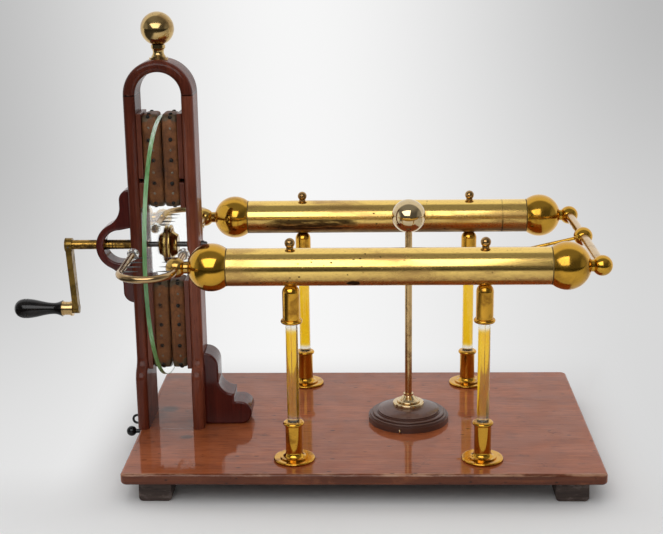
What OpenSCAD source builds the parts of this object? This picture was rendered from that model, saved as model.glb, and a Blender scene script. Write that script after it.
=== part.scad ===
// Plate friction electrical machine: a crank turns a glass plate between leather
// cushions; two brass conductors on glass pillars collect the charge through forks.
// Millimetres. X runs along the base (crank at -X), Y is depth, Z is up from the floor.

/* [Base] */
// length of the base board along X
base_w = 800; // [600:1:1000]
// depth of the base board along Y
base_d = 504; // [400:1:640]
// thickness of the base board
base_t = 19.5; // [14:0.5:30]
// radius on the upper and lower edges of the base board
base_round = 5; // [2:0.5:7]
// height of the block feet
foot_h = 34; // [20:1:60]
// width of a foot along X
foot_w = 55; // [40:1:80]
// depth of a foot along Y
foot_d = 50; // [36:1:80]
// distance from the ends of the base to a foot
foot_end_inset = 28; // [14:1:60]
// distance from the long edges of the base to a foot
foot_side_inset = 14; // [10:1:60]
// radius on the lower ends of a foot
foot_round = 8; // [4:0.5:14]

/* [Frame] */
// distance of the plate from the middle of the base, towards the crank
plate_offset = 344; // [300:1:360]
// height of the shaft above the base board
axis_h = 328; // [300:1:420]
// clear gap between the two posts
post_gap = 78.4; // [70:0.2:100]
// thickness of posts and arch
post_t = 20.5; // [16:0.5:30]
// depth of posts and arch along Y
post_d = 70; // [60:1:90]
// depth of the widened foot of a post
post_foot_d = 112; // [100:1:150]
// height of the widened foot of a post
post_foot_h = 110; // [80:1:130]
// radius of the round and of the cove on the foot of a post
post_curve_r = 24.6; // [23:0.2:40]
// radius on the long edges of posts and arch
arris_r = 4.5; // [2:0.5:6]
// height of the arch springing above the shaft
spring_h = 265.5; // [250:0.5:320]
// radius of the finial ball
finial_r = 28.5; // [20:0.5:40]
// height of the finial pedestal
finial_neck_h = 23.4; // [18:0.2:40]
// height of the scroll bracket on the right post
scroll_h = 134; // [120:1:160]
// width of the scroll bracket and of the bow bracket stem along Y
scroll_d = 56; // [40:1:66]
// reach of the bow bracket from the left post
bow_reach = 63.8; // [56:0.2:80]
// outside radius of the bow
bow_r = 42.8; // [38:0.2:52]
// wall of the bow
bow_wall = 13.4; // [10:0.2:18]
// depth of the bow bracket along Y
bow_d = 40; // [32:1:56]
// half length of the bow bracket along the post
bow_half = 102; // [95:1:120]

/* [Plate and crank] */
// radius of the glass plate
plate_r = 228.5; // [200:0.5:240]
// thickness of the glass plate
plate_t = 6.7; // [5:0.1:9]
// radius of the iron shaft
shaft_r = 4.75; // [4:0.05:6]
// radius of the brass sleeve between crank and post
sleeve_r = 8.4; // [7:0.1:10]
// radius of the hub flanges
hub_r = 34; // [28:0.2:40]
// length of one hub flange along the shaft
hub_len = 15.4; // [13:0.1:20]
// thickness of the rim of a hub flange
hub_rim_t = 5; // [3:0.1:7]
// radius of the boss of a hub flange
hub_boss_r = 18.3; // [14:0.1:20]
// distance of the crank from the plate along the shaft
crank_x = 175; // [160:1:200]
// length of the crank between its two bosses
crank_len = 127; // [100:1:150]
// angle of the crank at rest from straight down, away from the front
crank_rest = 11; // [0:1:30]
// length of the grip without its ferrule
grip_len = 88; // [70:1:110]
// largest radius of the grip
grip_r = 17.8; // [14:0.1:22]

/* [Cushions] */
// height of the lower end of the upper cushions above the shaft
upper_low = 72; // [60:1:80]
// depth of the upper end of the lower cushions below the shaft
lower_top = 59; // [55:1:80]
// length of a cushion
pad_len = 163; // [120:1:170]
// width of a cushion along Y
pad_w = 62; // [50:1:70]
// thickness of the wooden board behind a cushion
board_t = 8.5; // [6:0.1:12]

/* [Conductors] */
// distance of each conductor from the middle of the base along Y
cond_y = 187; // [170:1:200]
// height of the conductors above the shaft
cond_up = 6.4; // [0:0.2:20]
// X of the right end balls, from the middle of the base
cond_right = 331; // [300:1:340]
// outside radius of the conductor tubes
tube_r = 30.7; // [26:0.1:36]
// wall of the conductor tubes and end balls
tube_wall = 1.6; // [1:0.1:3]
// radius of the end balls
end_ball_r = 39.3; // [35:0.1:46]
// X of the left pillars, from the middle of the base
pillar_left = -115; // [-150:1:-80]
// X of the right pillars, from the middle of the base
pillar_right = 200; // [170:1:240]
// radius of the glass rods
glass_r = 10.2; // [7:0.05:11]
// radius of the pillar socket flange
flange_r = 35; // [28:0.5:42]
// distance of the fork arms from the plate
fork_half = 43; // [38:0.5:50]
// radius of the fork rod
fork_rod_r = 5.8; // [4:0.1:7]
// straight length of a fork arm between its ball and the bend
fork_past = 15.3; // [6:0.1:30]
// clear gap between a fork ball and its end ball
fork_gap = 2; // [1:0.1:6]
// Y of the knobs on the fork ends
fork_end_y = 99; // [80:1:120]
// radius of the fork end knobs
knob_r = 10.2; // [8:0.1:13]
// radius of the ball joining fork and conductor
fork_ball_r = 16.7; // [13:0.1:20]
// radius of the cross bar
bar_r = 8; // [6:0.1:10]
// radius of the balls at the ends of the cross bar
bar_ball_r = 16.9; // [13:0.1:20]
// Y of the swing ball on the cross bar
swing_y = 13; // [-40:1:40]
// radius of the swing ball
swing_ball_r = 16.6; // [13:0.1:20]
// slope of the swing rod below level
swing_drop = 13; // [0:1:30]
// length of the swing rod from the bar
swing_len = 150; // [100:1:180]
// radius of the swing rod
swing_rod_r = 3; // [2:0.1:4]

/* [Discharge stand] */
// X of the stand, from the middle of the base
stand_x = 81; // [40:1:110]
// Y of the stand
stand_y = -4; // [-30:1:30]
// radius of its turned base
stand_r = 72; // [60:0.5:84]
// radius of its ball
stand_ball_r = 29.3; // [24:0.1:36]
// height of the ball centre above the base board
stand_ball_h = 377; // [340:1:420]
// radius of its rod
stand_rod_r = 6.3; // [5:0.1:8]

/* [Hidden] */
$fn = 72;
eps = 0.01;
// clearances: fixed joint, joint on the wide tubes, running fit, cushion to plate
fit = 0.04;
tube_fit = 0.15;
run = 0.05;
pad_clear = 0.4;
move_gap = 0.5;

base_z = foot_h;
top_z = foot_h + base_t;
axis_z = top_z + axis_h;
cond_z = axis_z + cond_up;
spring_z = axis_z + spring_h;
plate_x = -plate_offset;
post_in = post_gap / 2;
post_out = post_in + post_t;

// crank and grip stations along X, measured from the plate
boss_t = 12.6;
end_boss_t = 11;
boss_r = 12;
end_boss_r = 9;
ferrule_len = 19.5;
grip_end_x = -crank_x - end_boss_t / 2 - 0.3;
grip_start_x = grip_end_x - ferrule_len - grip_len;
spindle_r = 4;
spindle_collar_r = 6;

// conductor stations along X and fork stations along Y
cond_left = plate_x + fork_half + fork_ball_r + fork_gap + end_ball_r;
bar_seat = 0.2;
bar_reach = end_ball_r + bar_ball_r - bar_seat;
fork_bend_y = cond_y + fork_ball_r + fork_past;

// frame origin: middle of the whole length
x_min = plate_x + grip_start_x;
bar_x = cond_right + bar_reach;
x_max = max(bar_x + bar_ball_r, base_w / 2);
x_shift = -(x_min + x_max) / 2;

// hub
washer_t = 1;
spigot_r = 9;
// pads fill what is left between board and plate
pad_t = post_in - plate_t / 2 - board_t - pad_clear;

// arch and finial
arch_out = post_out;
arch_in = post_in;
arch_top = spring_z + arch_out;
neck_base_r = 16.2;
neck_seat = 2.4;
stud_r = 4;
ball_cut = 1.5;

// post foot moulding: a round below and a cove above, of one radius, that meet at post_turn
post_turn = acos(1 - (post_foot_d - post_d) / (4 * post_curve_r));
post_low = post_foot_h - post_curve_r * sin(post_turn);
post_high = post_foot_h + post_curve_r * sin(post_turn);
post_round_y = post_foot_d / 2 - post_curve_r;
post_cove_y = post_d / 2 + post_curve_r;

// bow bracket curves
bow_c = bow_reach - bow_r;
wing_t = 19;
wing_v = 72;
bow_a = wing_t - 0.15 - bow_c;
bow_fillet = (bow_a * bow_a + wing_v * wing_v - bow_r * bow_r) / (2 * (bow_r - bow_a));
bow_bush_r = sleeve_r + 2;

// pillar levels above the base board
pillar_x = [pillar_left, pillar_right];
socket_h = 68;
glass_in = 40;
cap_glass_in = 30;
cap_r = 14.45;
cap_h = 52;
cap_bore = 38;
cap_drop = 64;
cap_low = axis_h + cond_up - tube_r - cap_drop;
nut_r = 8.45;
tie_r = 3;
base_stud_r = 5;
nut_h = 7;
nut_well = 9;
nut_well_r = 13;

// screws
screw_r = 2.5;
screw_head_r = 5;
screw_head_h = 3;

// fork points
point_r = 1.3;
point_tip = 14.5;
point_count = 4;
point_first = fork_end_y + 24.5;
point_last = fork_bend_y - 7.6;
point_pitch = (point_last - point_first) / (point_count - 1);

// earth fittings on the left edge of the base
earth_out = 18.5;
earth_eye_y = 22;
earth_knob_y = -37;
earth_stem_r = 2.6;
earth_stem_in = 16;

mahogany = "#5b2a1c";
brass = "#c79a3a";
iron = "#333438";

// moves a piece from base coordinates to the shared frame
module placed() {
  translate([x_shift, 0, 0]) children();
}

// puts children at the crossing of plate and shaft
module at_hub() {
  placed() translate([plate_x, 0, axis_z]) children();
}

// turns a profile (radius, station) about the X axis
module lathe_x() {
  rotate([0, 90, 0]) rotate_extrude() children();
}

module rod_x(x0, x1, r) {
  translate([x0, 0, 0]) rotate([0, 90, 0]) cylinder(r = r, h = x1 - x0);
}

module rod_y(y0, y1, r) {
  translate([0, y0, 0]) rotate([-90, 0, 0]) cylinder(r = r, h = y1 - y0);
}

// extrudes a Y-Z outline along X
module plank_x(x0, t) {
  translate([x0, 0, 0]) rotate([90, 0, 90]) linear_extrude(height = t) children();
}

// extrudes an X-Z outline along Y, centred
module plank_y(t) {
  rotate([90, 0, 0]) linear_extrude(height = t, center = true) children();
}

module at_feet() {
  for (sx = [-1, 1]) for (sy = [-1, 1])
    translate([sx * (base_w / 2 - foot_end_inset - foot_w / 2), sy * (base_d / 2 - foot_side_inset - foot_d / 2), 0])
      children();
}

module at_post_screws() {
  for (sx = [-1, 1]) for (sy = [-1, 1])
    translate([plate_x + sx * (post_in + post_screw_in), sy * (post_foot_d / 2 - post_screw_edge), base_z]) children();
}

module at_pillars() {
  for (x = pillar_x) for (sy = [-1, 1]) translate([x, sy * cond_y, top_z]) children();
}

// countersunk wood screw, head down, its shank pointing up
module wood_screw(h, grow = 0) {
  cylinder(r1 = screw_head_r + grow, r2 = screw_r + grow, h = screw_head_h);
  translate([0, 0, screw_head_h - eps]) cylinder(r = screw_r + grow, h = h - screw_head_h + grow);
}

foot_screw_up = 4;
foot_screw_h = foot_h - foot_screw_up + base_t * 0.6;
post_screw_h = base_t + 40;
post_screw_in = 7;
post_screw_edge = 8;

// rectangle with rounded corners, centred
module rounded(w, h, r) {
  square([w, h - 2 * r], center = true);
  square([w - 2 * r, h], center = true);
  for (a = [-1, 1]) for (b = [-1, 1]) translate([a * (w / 2 - r), b * (h / 2 - r)]) circle(r = r);
}

// board with rounded edges, mitred at the corners
module base_board() {
  r = base_t / 2;
  color(mahogany) placed() difference() {
    translate([0, 0, base_z + r]) intersection() {
      plank_y(base_d) rounded(base_w, base_t, base_round);
      plank_x(-base_w / 2, base_w) rounded(base_d, base_t, base_round);
    }
    at_feet() translate([0, 0, foot_screw_up]) wood_screw(foot_screw_h, fit);
    at_post_screws() wood_screw(post_screw_h, fit);
    at_pillars() {
      translate([0, 0, -base_t - 1]) cylinder(r = base_stud_r + fit, h = base_t + 2);
      translate([0, 0, -base_t - 1]) cylinder(r = nut_well_r, h = nut_well + 1);
    }
    for (y = [earth_eye_y, earth_knob_y])
      translate([-base_w / 2, y, base_z + r]) rod_x(-1, earth_stem_in + fit, earth_stem_r + fit);
  }
}

// four blocks with rounded lower ends, bored for their screws
module block_feet() {
  color("#3b2a22") placed() at_feet() difference() {
    plank_y(foot_d) union() {
      translate([-foot_w / 2, foot_round]) square([foot_w, foot_h - foot_round]);
      translate([-foot_w / 2 + foot_round, 0]) square([foot_w - 2 * foot_round, foot_round + 1]);
      for (s = [-1, 1]) translate([s * (foot_w / 2 - foot_round), foot_round]) circle(r = foot_round);
    }
    translate([0, 0, foot_screw_up]) wood_screw(foot_screw_h, fit);
    translate([0, 0, -1]) cylinder(r = screw_head_r + fit, h = foot_screw_up + 1);
  }
}

// screws of the feet and of the posts, from below
module wood_screws() {
  color(iron) placed() {
    at_feet() translate([0, 0, foot_screw_up]) wood_screw(foot_screw_h);
    at_post_screws() wood_screw(post_screw_h);
  }
}

// side of the moulding on the foot of a post: a round below runs into a cove above
module post_moulding() {
  translate([-post_d / 2, post_low]) square([post_d, post_high - post_low]);
  for (s = [0, 1]) mirror([s, 0]) {
    intersection() {
      translate([post_round_y, post_low]) circle(r = post_curve_r);
      translate([0, post_low]) square([post_foot_d, post_high - post_low]);
    }
    difference() {
      polygon([[0, post_low], [post_round_y, post_low], [post_cove_y, post_high], [0, post_high]]);
      translate([post_cove_y, post_high]) circle(r = post_curve_r - 0.15);
    }
  }
}

// post with rounded edges on shank and foot, and square edges on the moulding between them
module post_body() {
  top = spring_z - top_z;
  translate([0, 0, post_high]) linear_extrude(height = top - post_high) rounded(post_t, post_d, arris_r);
  linear_extrude(height = post_low) rounded(post_t, post_foot_d, arris_r);
  plank_x(-post_t / 2, post_t) post_moulding();
}

dowel_r = 4;
dowel_len = 44;

module at_dowels() {
  for (sx = [-1, 1]) for (sy = [-1, 1])
    translate([plate_x + sx * (post_in + post_t / 2), sy * post_d / 4, spring_z - dowel_len / 2]) children();
}

// screw positions of the two brackets, on the inner faces of the posts
bow_screw_v = 82;
scroll_screw_v = [30, 100];
bracket_screw_h = post_t + 12;

module at_bracket_screws() {
  for (s = [-1, 1])
    translate([plate_x - post_in, 0, axis_z + s * bow_screw_v]) rotate([0, -90, 0]) children();
  for (v = scroll_screw_v)
    translate([plate_x + post_in, 0, top_z + v]) rotate([0, 90, 0]) children();
}

module post_at(x0) {
  difference() {
    translate([plate_x + x0 + post_t / 2, 0, top_z]) post_body();
    at_post_screws() wood_screw(post_screw_h, fit);
    at_dowels() translate([0, 0, -fit]) cylinder(r = dowel_r + fit, h = dowel_len + 2 * fit);
    at_bracket_screws() wood_screw(bracket_screw_h, fit);
    translate([plate_x, 0, axis_z]) rod_x(-post_out - 1, post_out + 1, bush_r + fit);
  }
}

bush_r = shaft_r + 3;

module left_post() {
  color(mahogany) placed() post_at(-post_out);
}

module right_post() {
  color(mahogany) placed() post_at(post_in);
}

// half ring with rounded edges over the posts, spot-faced for the finial
module arch() {
  color(mahogany) placed() difference() {
    translate([plate_x, 0, spring_z]) rotate([90, 0, 0]) rotate_extrude(angle = 180)
      translate([arch_in + post_t / 2, 0]) rounded(post_t, post_d, arris_r);
    at_dowels() translate([0, 0, -fit]) cylinder(r = dowel_r + fit, h = dowel_len + 2 * fit);
    translate([plate_x, 0, arch_top - neck_seat]) cylinder(r = neck_base_r + fit, h = neck_seat + 1);
    translate([plate_x, 0, arch_top - post_t - 1]) cylinder(r = stud_r + fit, h = post_t + 2);
  }
}

module arch_dowels() {
  color("#a07a4a") placed() at_dowels() cylinder(r = dowel_r, h = dowel_len);
}

// waisted brass pedestal with a stud above and below
module finial_pedestal() {
  waist = 9.4;
  ring = 12.2;
  low = 4.5;
  ring_h = 3.6;
  rise = finial_neck_h + neck_seat;
  cove = (rise - ring_h - low) / 2 + 0.8;
  color(brass) placed() translate([plate_x, 0, arch_top - neck_seat]) rotate_extrude() {
    translate([0, -post_t + neck_seat + 3]) square([stud_r, post_t]);
    translate([0, rise - 1]) square([stud_r, 15]);
    square([neck_base_r, low]);
    translate([0, rise - ring_h]) square([ring, ring_h]);
    difference() {
      square([ring, rise]);
      translate([waist + cove, low + (rise - ring_h - low) / 2]) circle(r = cove);
    }
  }
}

module finial_ball() {
  seat = arch_top + finial_neck_h;
  color(brass) placed() translate([plate_x, 0, seat]) difference() {
    translate([0, 0, finial_r - ball_cut]) sphere(r = finial_r);
    translate([0, 0, -2 * finial_r]) cylinder(r = finial_r, h = 2 * finial_r);
    translate([0, 0, -1]) cylinder(r = stud_r + fit, h = 16);
  }
}

// console scroll: rounded top, cove, step and round nose
module scroll_outline() {
  neck = 25;
  cove = 27;
  nose = 21;
  nose_u = 62;
  step_v = 57;
  difference() {
    union() {
      square([neck, scroll_h - neck]);
      translate([0, scroll_h - neck]) circle(r = neck);
    }
    translate([-2 * neck, 0]) square([2 * neck, scroll_h + 1]);
  }
  square([neck + cove, step_v]);
  difference() {
    translate([neck - eps, step_v - eps]) square([cove, cove + eps]);
    translate([neck + cove - 0.2, step_v + cove - 0.2]) circle(r = cove);
  }
  square([nose_u, 2 * nose]);
  translate([nose_u, nose]) circle(r = nose);
}

module scroll_bracket() {
  color(mahogany) placed() difference() {
    translate([plate_x + post_out, 0, top_z]) plank_y(scroll_d) scroll_outline();
    at_bracket_screws() wood_screw(bracket_screw_h, fit);
  }
}

// bow with two wings, drawn with u growing away from the post
module bow_outline() {
  end_v = bow_half - wing_t;
  fillet_u = bow_a + bow_c + bow_fillet;
  inner = bow_r - bow_wall;
  difference() {
    union() {
      translate([bow_c, 0]) circle(r = bow_r);
      translate([0, -end_v]) square([wing_t, 2 * end_v]);
      for (s = [-1, 1]) {
        translate([0, s * end_v]) circle(r = wing_t);
        mirror([0, s < 0 ? 1 : 0]) difference() {
          polygon([[0, 0], [bow_c, 0], [fillet_u, wing_v], [0, wing_v]]);
          translate([fillet_u, wing_v]) circle(r = bow_fillet);
        }
      }
    }
    translate([-3 * bow_r, -2 * bow_half]) square([3 * bow_r, 4 * bow_half]);
    translate([bow_c, 0]) circle(r = inner);
    polygon([[-1, -inner - 5], [bow_c, -inner], [bow_c, inner], [-1, inner + 5]]);
  }
}

module bow_bracket() {
  color(mahogany) placed() difference() {
    translate([plate_x - post_out, 0, axis_z]) mirror([1, 0, 0]) plank_y(bow_d) bow_outline();
    at_bracket_screws() wood_screw(bracket_screw_h, fit);
    translate([plate_x, 0, axis_z]) rod_x(-post_out - bow_reach - 1, -post_out - 1, bow_bush_r + fit);
  }
}

module bracket_screws() {
  color(iron) placed() at_bracket_screws() wood_screw(bracket_screw_h);
}

bow_bush_len = bow_wall - 1.6;

module bow_bush() {
  x0 = -post_out - bow_reach + 1.4;
  color(brass) at_hub() difference() {
    rod_x(x0, x0 + bow_bush_len, bow_bush_r);
    rod_x(x0 - 1, x0 + bow_bush_len + 1, sleeve_r + run);
  }
}

module post_bushes() {
  color(brass) at_hub() for (x = [-post_out, post_in]) difference() {
    rod_x(x, x + post_t, bush_r);
    rod_x(x - 1, x + post_t + 1, shaft_r + run);
  }
}

// iron eye on a stem in the base edge, for the earth chain
module earth_eye() {
  wire = 2.2;
  ring = 7.6;
  color(iron) placed() translate([-base_w / 2 - earth_out, earth_eye_y, base_z + base_t / 2]) union() {
    rotate([90, 0, 0]) rotate_extrude() translate([ring, 0]) circle(r = wire);
    rod_x(ring + 0.5, earth_out + earth_stem_in, earth_stem_r);
    rod_x(ring + 0.9, earth_out - 0.4, 3.4);
  }
}

module earth_knob() {
  color(iron) placed() translate([-base_w / 2 - earth_out, earth_knob_y, base_z + base_t / 2]) union() {
    sphere(r = 9.1);
    rod_x(0, earth_out + earth_stem_in, earth_stem_r);
    rod_x(6, earth_out - 0.4, 3.8);
  }
}

// board behind a cushion, the upper ones notched from the front
module cushion_board(notch_at) {
  difference() {
    translate([0, -pad_w / 2, 0]) cube([board_t, pad_w, pad_len]);
    if (notch_at > 0) translate([-1, -pad_w / 2 - 1, notch_at]) cube([board_t + 2, 23, 7]);
  }
}

board_notch = 44;

module upper_left_board() {
  color(mahogany) at_hub() translate([-post_in, 0, upper_low]) cushion_board(board_notch);
}

module upper_right_board() {
  color(mahogany) at_hub() mirror([1, 0, 0]) translate([-post_in, 0, upper_low]) cushion_board(board_notch);
}

module lower_left_board() {
  color(mahogany) at_hub() translate([-post_in, 0, -lower_top - pad_len]) cushion_board(0);
}

module lower_right_board() {
  color(mahogany) at_hub() mirror([1, 0, 0]) translate([-post_in, 0, -lower_top - pad_len]) cushion_board(0);
}

// cushion: rings of a rounded outline, drawn in at the board and over the crown
pad_rings = [[0, 1.4], [0.1, 0.5], [0.3, 0.1], [0.55, 0.2], [0.74, 1.1], [0.87, 3], [0.945, 6], [0.98, 10.5], [0.995, 17]];
pad_steps = 48;
pad_square = 7;

function sign_pow(v, p) = v < 0 ? -pow(-v, p) : pow(v, p);
function pad_point(k, i) = let (
    a = 360 * (i + 0.5) / pad_steps,
    in_by = pad_rings[k][1],
    y = (pad_w / 2 - in_by) * sign_pow(cos(a), 2 / pad_square),
    z = (pad_len / 2 - in_by) * sign_pow(sin(a), 2 / pad_square)
  ) [pad_rings[k][0] * pad_t, y, z];

module cushion() {
  n = pad_steps;
  m = len(pad_rings);
  points = concat(
    [for (k = [0 : m - 1]) for (i = [0 : n - 1]) pad_point(k, i)],
    [[0, 0, 0], [pad_t, 0, 0]]);
  sides = [for (k = [0 : m - 2]) for (i = [0 : n - 1]) for (h = [0, 1]) let (j = (i + 1) % n)
    h == 0 ? [k * n + i, (k + 1) * n + i, (k + 1) * n + j] : [k * n + i, (k + 1) * n + j, k * n + j]];
  back = [for (i = [0 : n - 1]) [m * n, i, (i + 1) % n]];
  crown = [for (i = [0 : n - 1]) [m * n + 1, (m - 1) * n + (i + 1) % n, (m - 1) * n + i]];
  polyhedron(points = points, faces = concat(sides, back, crown), convexity = 4);
}

module pad_at(z, side) {
  color("#6d4a2f") at_hub() mirror([side > 0 ? 1 : 0, 0, 0])
    translate([-post_in + board_t, 0, z + pad_len / 2]) cushion();
}

module upper_left_pad() {
  pad_at(upper_low, -1);
}

module upper_right_pad() {
  pad_at(upper_low, 1);
}

module lower_left_pad() {
  pad_at(-lower_top - pad_len, -1);
}

module lower_right_pad() {
  pad_at(-lower_top - pad_len, 1);
}

// brass socket with a moulded flange, beaded rim and a stud through the base
module socket() {
  body = 14.2;
  bead = 3.4;
  lip = 2.4;
  cove = 9;
  difference() {
    union() {
      rotate_extrude() {
        square([flange_r - lip, 2 * lip]);
        translate([flange_r - lip, lip]) circle(r = lip);
        square([flange_r - 11, 2 * lip + 2.2]);
        translate([0, 1]) square([body, socket_h - 1]);
        difference() {
          square([body + cove - 1.4, 2 * lip + 2.2 + cove - 1.2]);
          translate([body + cove, 2 * lip + 2.2 + cove - 1]) circle(r = cove);
        }
        translate([0, socket_h - 2 * bead]) square([body, 2 * bead]);
        translate([body, socket_h - bead]) circle(r = bead);
      }
      translate([0, 0, -base_t + 1]) cylinder(r = base_stud_r, h = base_t);
    }
    translate([0, 0, socket_h - glass_in]) cylinder(r = glass_r + fit, h = glass_in + 1);
  }
}

module pillar_sockets() {
  color(brass) placed() at_pillars() socket();
}

module pillar_rods() {
  low = socket_h - glass_in;
  color("#d8a818") placed() at_pillars() translate([0, 0, low])
    cylinder(r = glass_r, h = cap_low + cap_glass_in - low);
}

// domed cap over the rod, hollowed above to seat the tube
module pillar_caps() {
  bead = 3.5;
  color(brass) placed() difference() {
    at_pillars() translate([0, 0, cap_low]) difference() {
      rotate_extrude() {
        square([cap_r, cap_h + 1]);
        translate([cap_r, bead]) circle(r = bead);
        intersection() {
          translate([0, cap_h]) circle(r = cap_r);
          translate([0, cap_h - 1]) square([cap_r, cap_r + 1]);
        }
      }
      translate([0, 0, -1]) cylinder(r = glass_r + fit, h = cap_glass_in + 1 + fit);
      translate([0, 0, cap_bore]) cylinder(r = tie_r + fit, h = cap_h + cap_r - cap_bore + 1);
    }
    for (s = [-1, 1]) translate([0, s * cond_y, cond_z]) rod_x(-base_w / 2, base_w / 2, tube_r + tube_fit);
  }
}

// nuts on the socket studs, in wells under the base
module pillar_nuts() {
  color(brass) placed() at_pillars() translate([0, 0, -base_t + nut_well - nut_h]) difference() {
    cylinder(r = 9.5, h = nut_h, $fn = 6);
    translate([0, 0, -1]) cylinder(r = base_stud_r + fit, h = nut_h + 2, $fn = 72);
  }
}

// hollow tube, bored for the tie screws
module conductor(side) {
  color(brass) placed() translate([0, side * cond_y, cond_z]) difference() {
    rod_x(cond_left + tube_stop, cond_right - tube_stop, tube_r);
    rod_x(cond_left, cond_right, tube_r - tube_wall);
    for (x = pillar_x) translate([x, 0, -tube_r - 1]) cylinder(r = tie_r + fit, h = 2 * tube_r + 2);
  }
}

module front_conductor() {
  conductor(-1);
}

module rear_conductor() {
  conductor(1);
}

neck_r = 8;

// how far the tube stops short of the middle of an end ball
tube_stop = 6;

// hollow end ball, open to the tube and bored for the neck of the small ball
module end_ball() {
  lathe_x() difference() {
    circle(r = end_ball_r);
    circle(r = end_ball_r - tube_wall);
    translate([-2 * end_ball_r, -2 * end_ball_r]) square([2 * end_ball_r, 4 * end_ball_r]);
    translate([-1, tube_stop]) square([tube_r + tube_fit + 1, end_ball_r]);
    translate([-1, -2 * end_ball_r]) square([neck_r + fit + 1, 2 * end_ball_r]);
  }
}

module end_balls(side) {
  color(brass) placed() translate([0, side * cond_y, cond_z]) {
    translate([cond_left, 0, 0]) end_ball();
    translate([cond_right, 0, 0]) mirror([1, 0, 0]) end_ball();
  }
}

module front_end_balls() {
  end_balls(-1);
}

module rear_end_balls() {
  end_balls(1);
}

// ball-headed screws through tube and cap
module tie_screws() {
  head = tube_r + nut_r + 0.6;
  color(brass) placed() difference() {
    for (x = pillar_x) for (s = [-1, 1]) translate([x, s * cond_y, cond_z]) {
      translate([0, 0, head]) sphere(r = nut_r);
      translate([0, 0, tube_r - 3]) cylinder(r = 6, h = 5.4);
      translate([0, 0, -tube_r - 14]) cylinder(r = tie_r, h = head + tube_r + 14);
    }
    for (s = [-1, 1]) translate([0, s * cond_y, cond_z]) difference() {
      rod_x(-base_w / 2, base_w / 2, tube_r + tube_fit);
      for (x = pillar_x) translate([x, 0, -tube_r - 20]) cylinder(r = tie_r, h = 2 * tube_r + 40);
    }
  }
}

// bent rod round the rim of the plate, with holes for the points
module fork_rod() {
  inner = fork_end_y - knob_r * 0.35;
  difference() {
    union() {
      for (s = [-1, 1]) translate([s * fork_half, 0, 0]) rod_y(inner, fork_bend_y, fork_rod_r);
      translate([0, fork_bend_y, 0]) rotate_extrude(angle = 180)
        translate([fork_half, 0]) circle(r = fork_rod_r);
    }
    at_points() rod_x(-fork_half + 1, -point_tip, point_r + fit);
  }
}

module at_points() {
  for (s = [0, 1]) mirror([s, 0, 0]) for (i = [0 : point_count - 1])
    translate([0, point_first + i * point_pitch, 0]) children();
}

module at_fork(side) {
  placed() translate([plate_x, 0, cond_z]) mirror([0, side < 0 ? 1 : 0, 0]) children();
}

module front_fork() {
  color(brass) at_fork(-1) fork_rod();
}

module rear_fork() {
  color(brass) at_fork(1) fork_rod();
}

// tapered points on the fork arms, facing the plate
module fork_points() {
  shank = fork_half - 1 - fit;
  color(iron) for (side = [-1, 1]) at_fork(side) at_points() {
    rod_x(-shank, -fork_half + fork_rod_r + 6, point_r);
    translate([-fork_half + fork_rod_r + 6 - eps, 0, 0]) rotate([0, 90, 0])
      cylinder(r1 = point_r, r2 = 0.25, h = fork_half - fork_rod_r - 6 - point_tip);
  }
}

neck_in = 8;
neck_collar_r = 10;

// profile of a small ball with a neck into an end ball that lies far along +X
module necked_ball(r, far) {
  difference() {
    union() {
      circle(r = r);
      square([neck_collar_r, far - end_ball_r + 1]);
    }
    translate([0, far]) circle(r = end_ball_r + tube_fit);
    translate([-2 * r, -2 * r]) square([2 * r, 4 * r]);
  }
  square([neck_r, far - end_ball_r + neck_in]);
}

// balls on the right arms of the forks, each with a neck into its end ball
module fork_balls() {
  gap = cond_left - plate_x - fork_half;
  color(brass) for (side = [-1, 1]) at_fork(side) translate([fork_half, cond_y, 0]) difference() {
    lathe_x() necked_ball(fork_ball_r, gap);
    rod_y(-fork_ball_r - 1, fork_ball_r + 1, fork_rod_r + fit);
    translate([-fork_half, -cond_y, 0]) at_points() rod_x(-fork_half + 1, -point_tip, point_r + fit);
  }
}

// ball turned about the Y axis with a bore from y0 to y1
module bored_ball(r, bore, y0, y1) {
  rotate([-90, 0, 0]) rotate_extrude() difference() {
    intersection() {
      circle(r = r);
      translate([0, -r]) square([r, 2 * r]);
    }
    translate([-1, y0]) square([bore + 1, y1 - y0]);
  }
}

// clear end knobs, each bored for the end of its arm
module fork_knobs() {
  color("#d9dde0") for (side = [-1, 1]) at_fork(side) for (s = [-1, 1])
    translate([s * fork_half, fork_end_y, 0])
      bored_ball(knob_r, fork_rod_r + fit, -knob_r * 0.35 - fit, knob_r + 1);
}

module cross_bar() {
  color(brass) placed() translate([bar_x, 0, cond_z]) rod_y(-cond_y - 4, cond_y + 4, bar_r);
}

module cross_bar_balls() {
  color(brass) for (side = [-1, 1]) placed() translate([bar_x, side * cond_y, cond_z])
    mirror([0, side > 0 ? 1 : 0, 0]) difference() {
      mirror([1, 0, 0]) lathe_x() necked_ball(bar_ball_r, bar_reach);
      rod_y(-4 - fit, bar_ball_r + 1, bar_r + fit);
    }
}

swing_in = bar_r + 2;

// ball that turns on the cross bar and carries the swing rod
module swing_ball() {
  color(brass) placed() translate([bar_x, swing_y, cond_z]) difference() {
    bored_ball(swing_ball_r, bar_r + run, -swing_ball_r - 1, swing_ball_r + 1);
    rotate([0, -swing_drop, 0]) rod_x(-swing_ball_r - 1, -swing_in + fit, swing_rod_r + fit);
  }
}

swing_tip_r = 7;

module swing_rod() {
  color(brass) placed() translate([bar_x, swing_y, cond_z]) rotate([0, -swing_drop, 0]) {
    rod_x(-swing_len, -swing_in, swing_rod_r);
    translate([-swing_len, 0, 0]) sphere(r = swing_tip_r);
  }
}

module at_stand() {
  placed() translate([stand_x, stand_y, top_z]) children();
}

stand_dome_r = 55;
stand_dome_z = 21;
stand_wood_h = 28;
stand_ferrule_r = 28;
stand_ferrule_h = 22;

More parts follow.
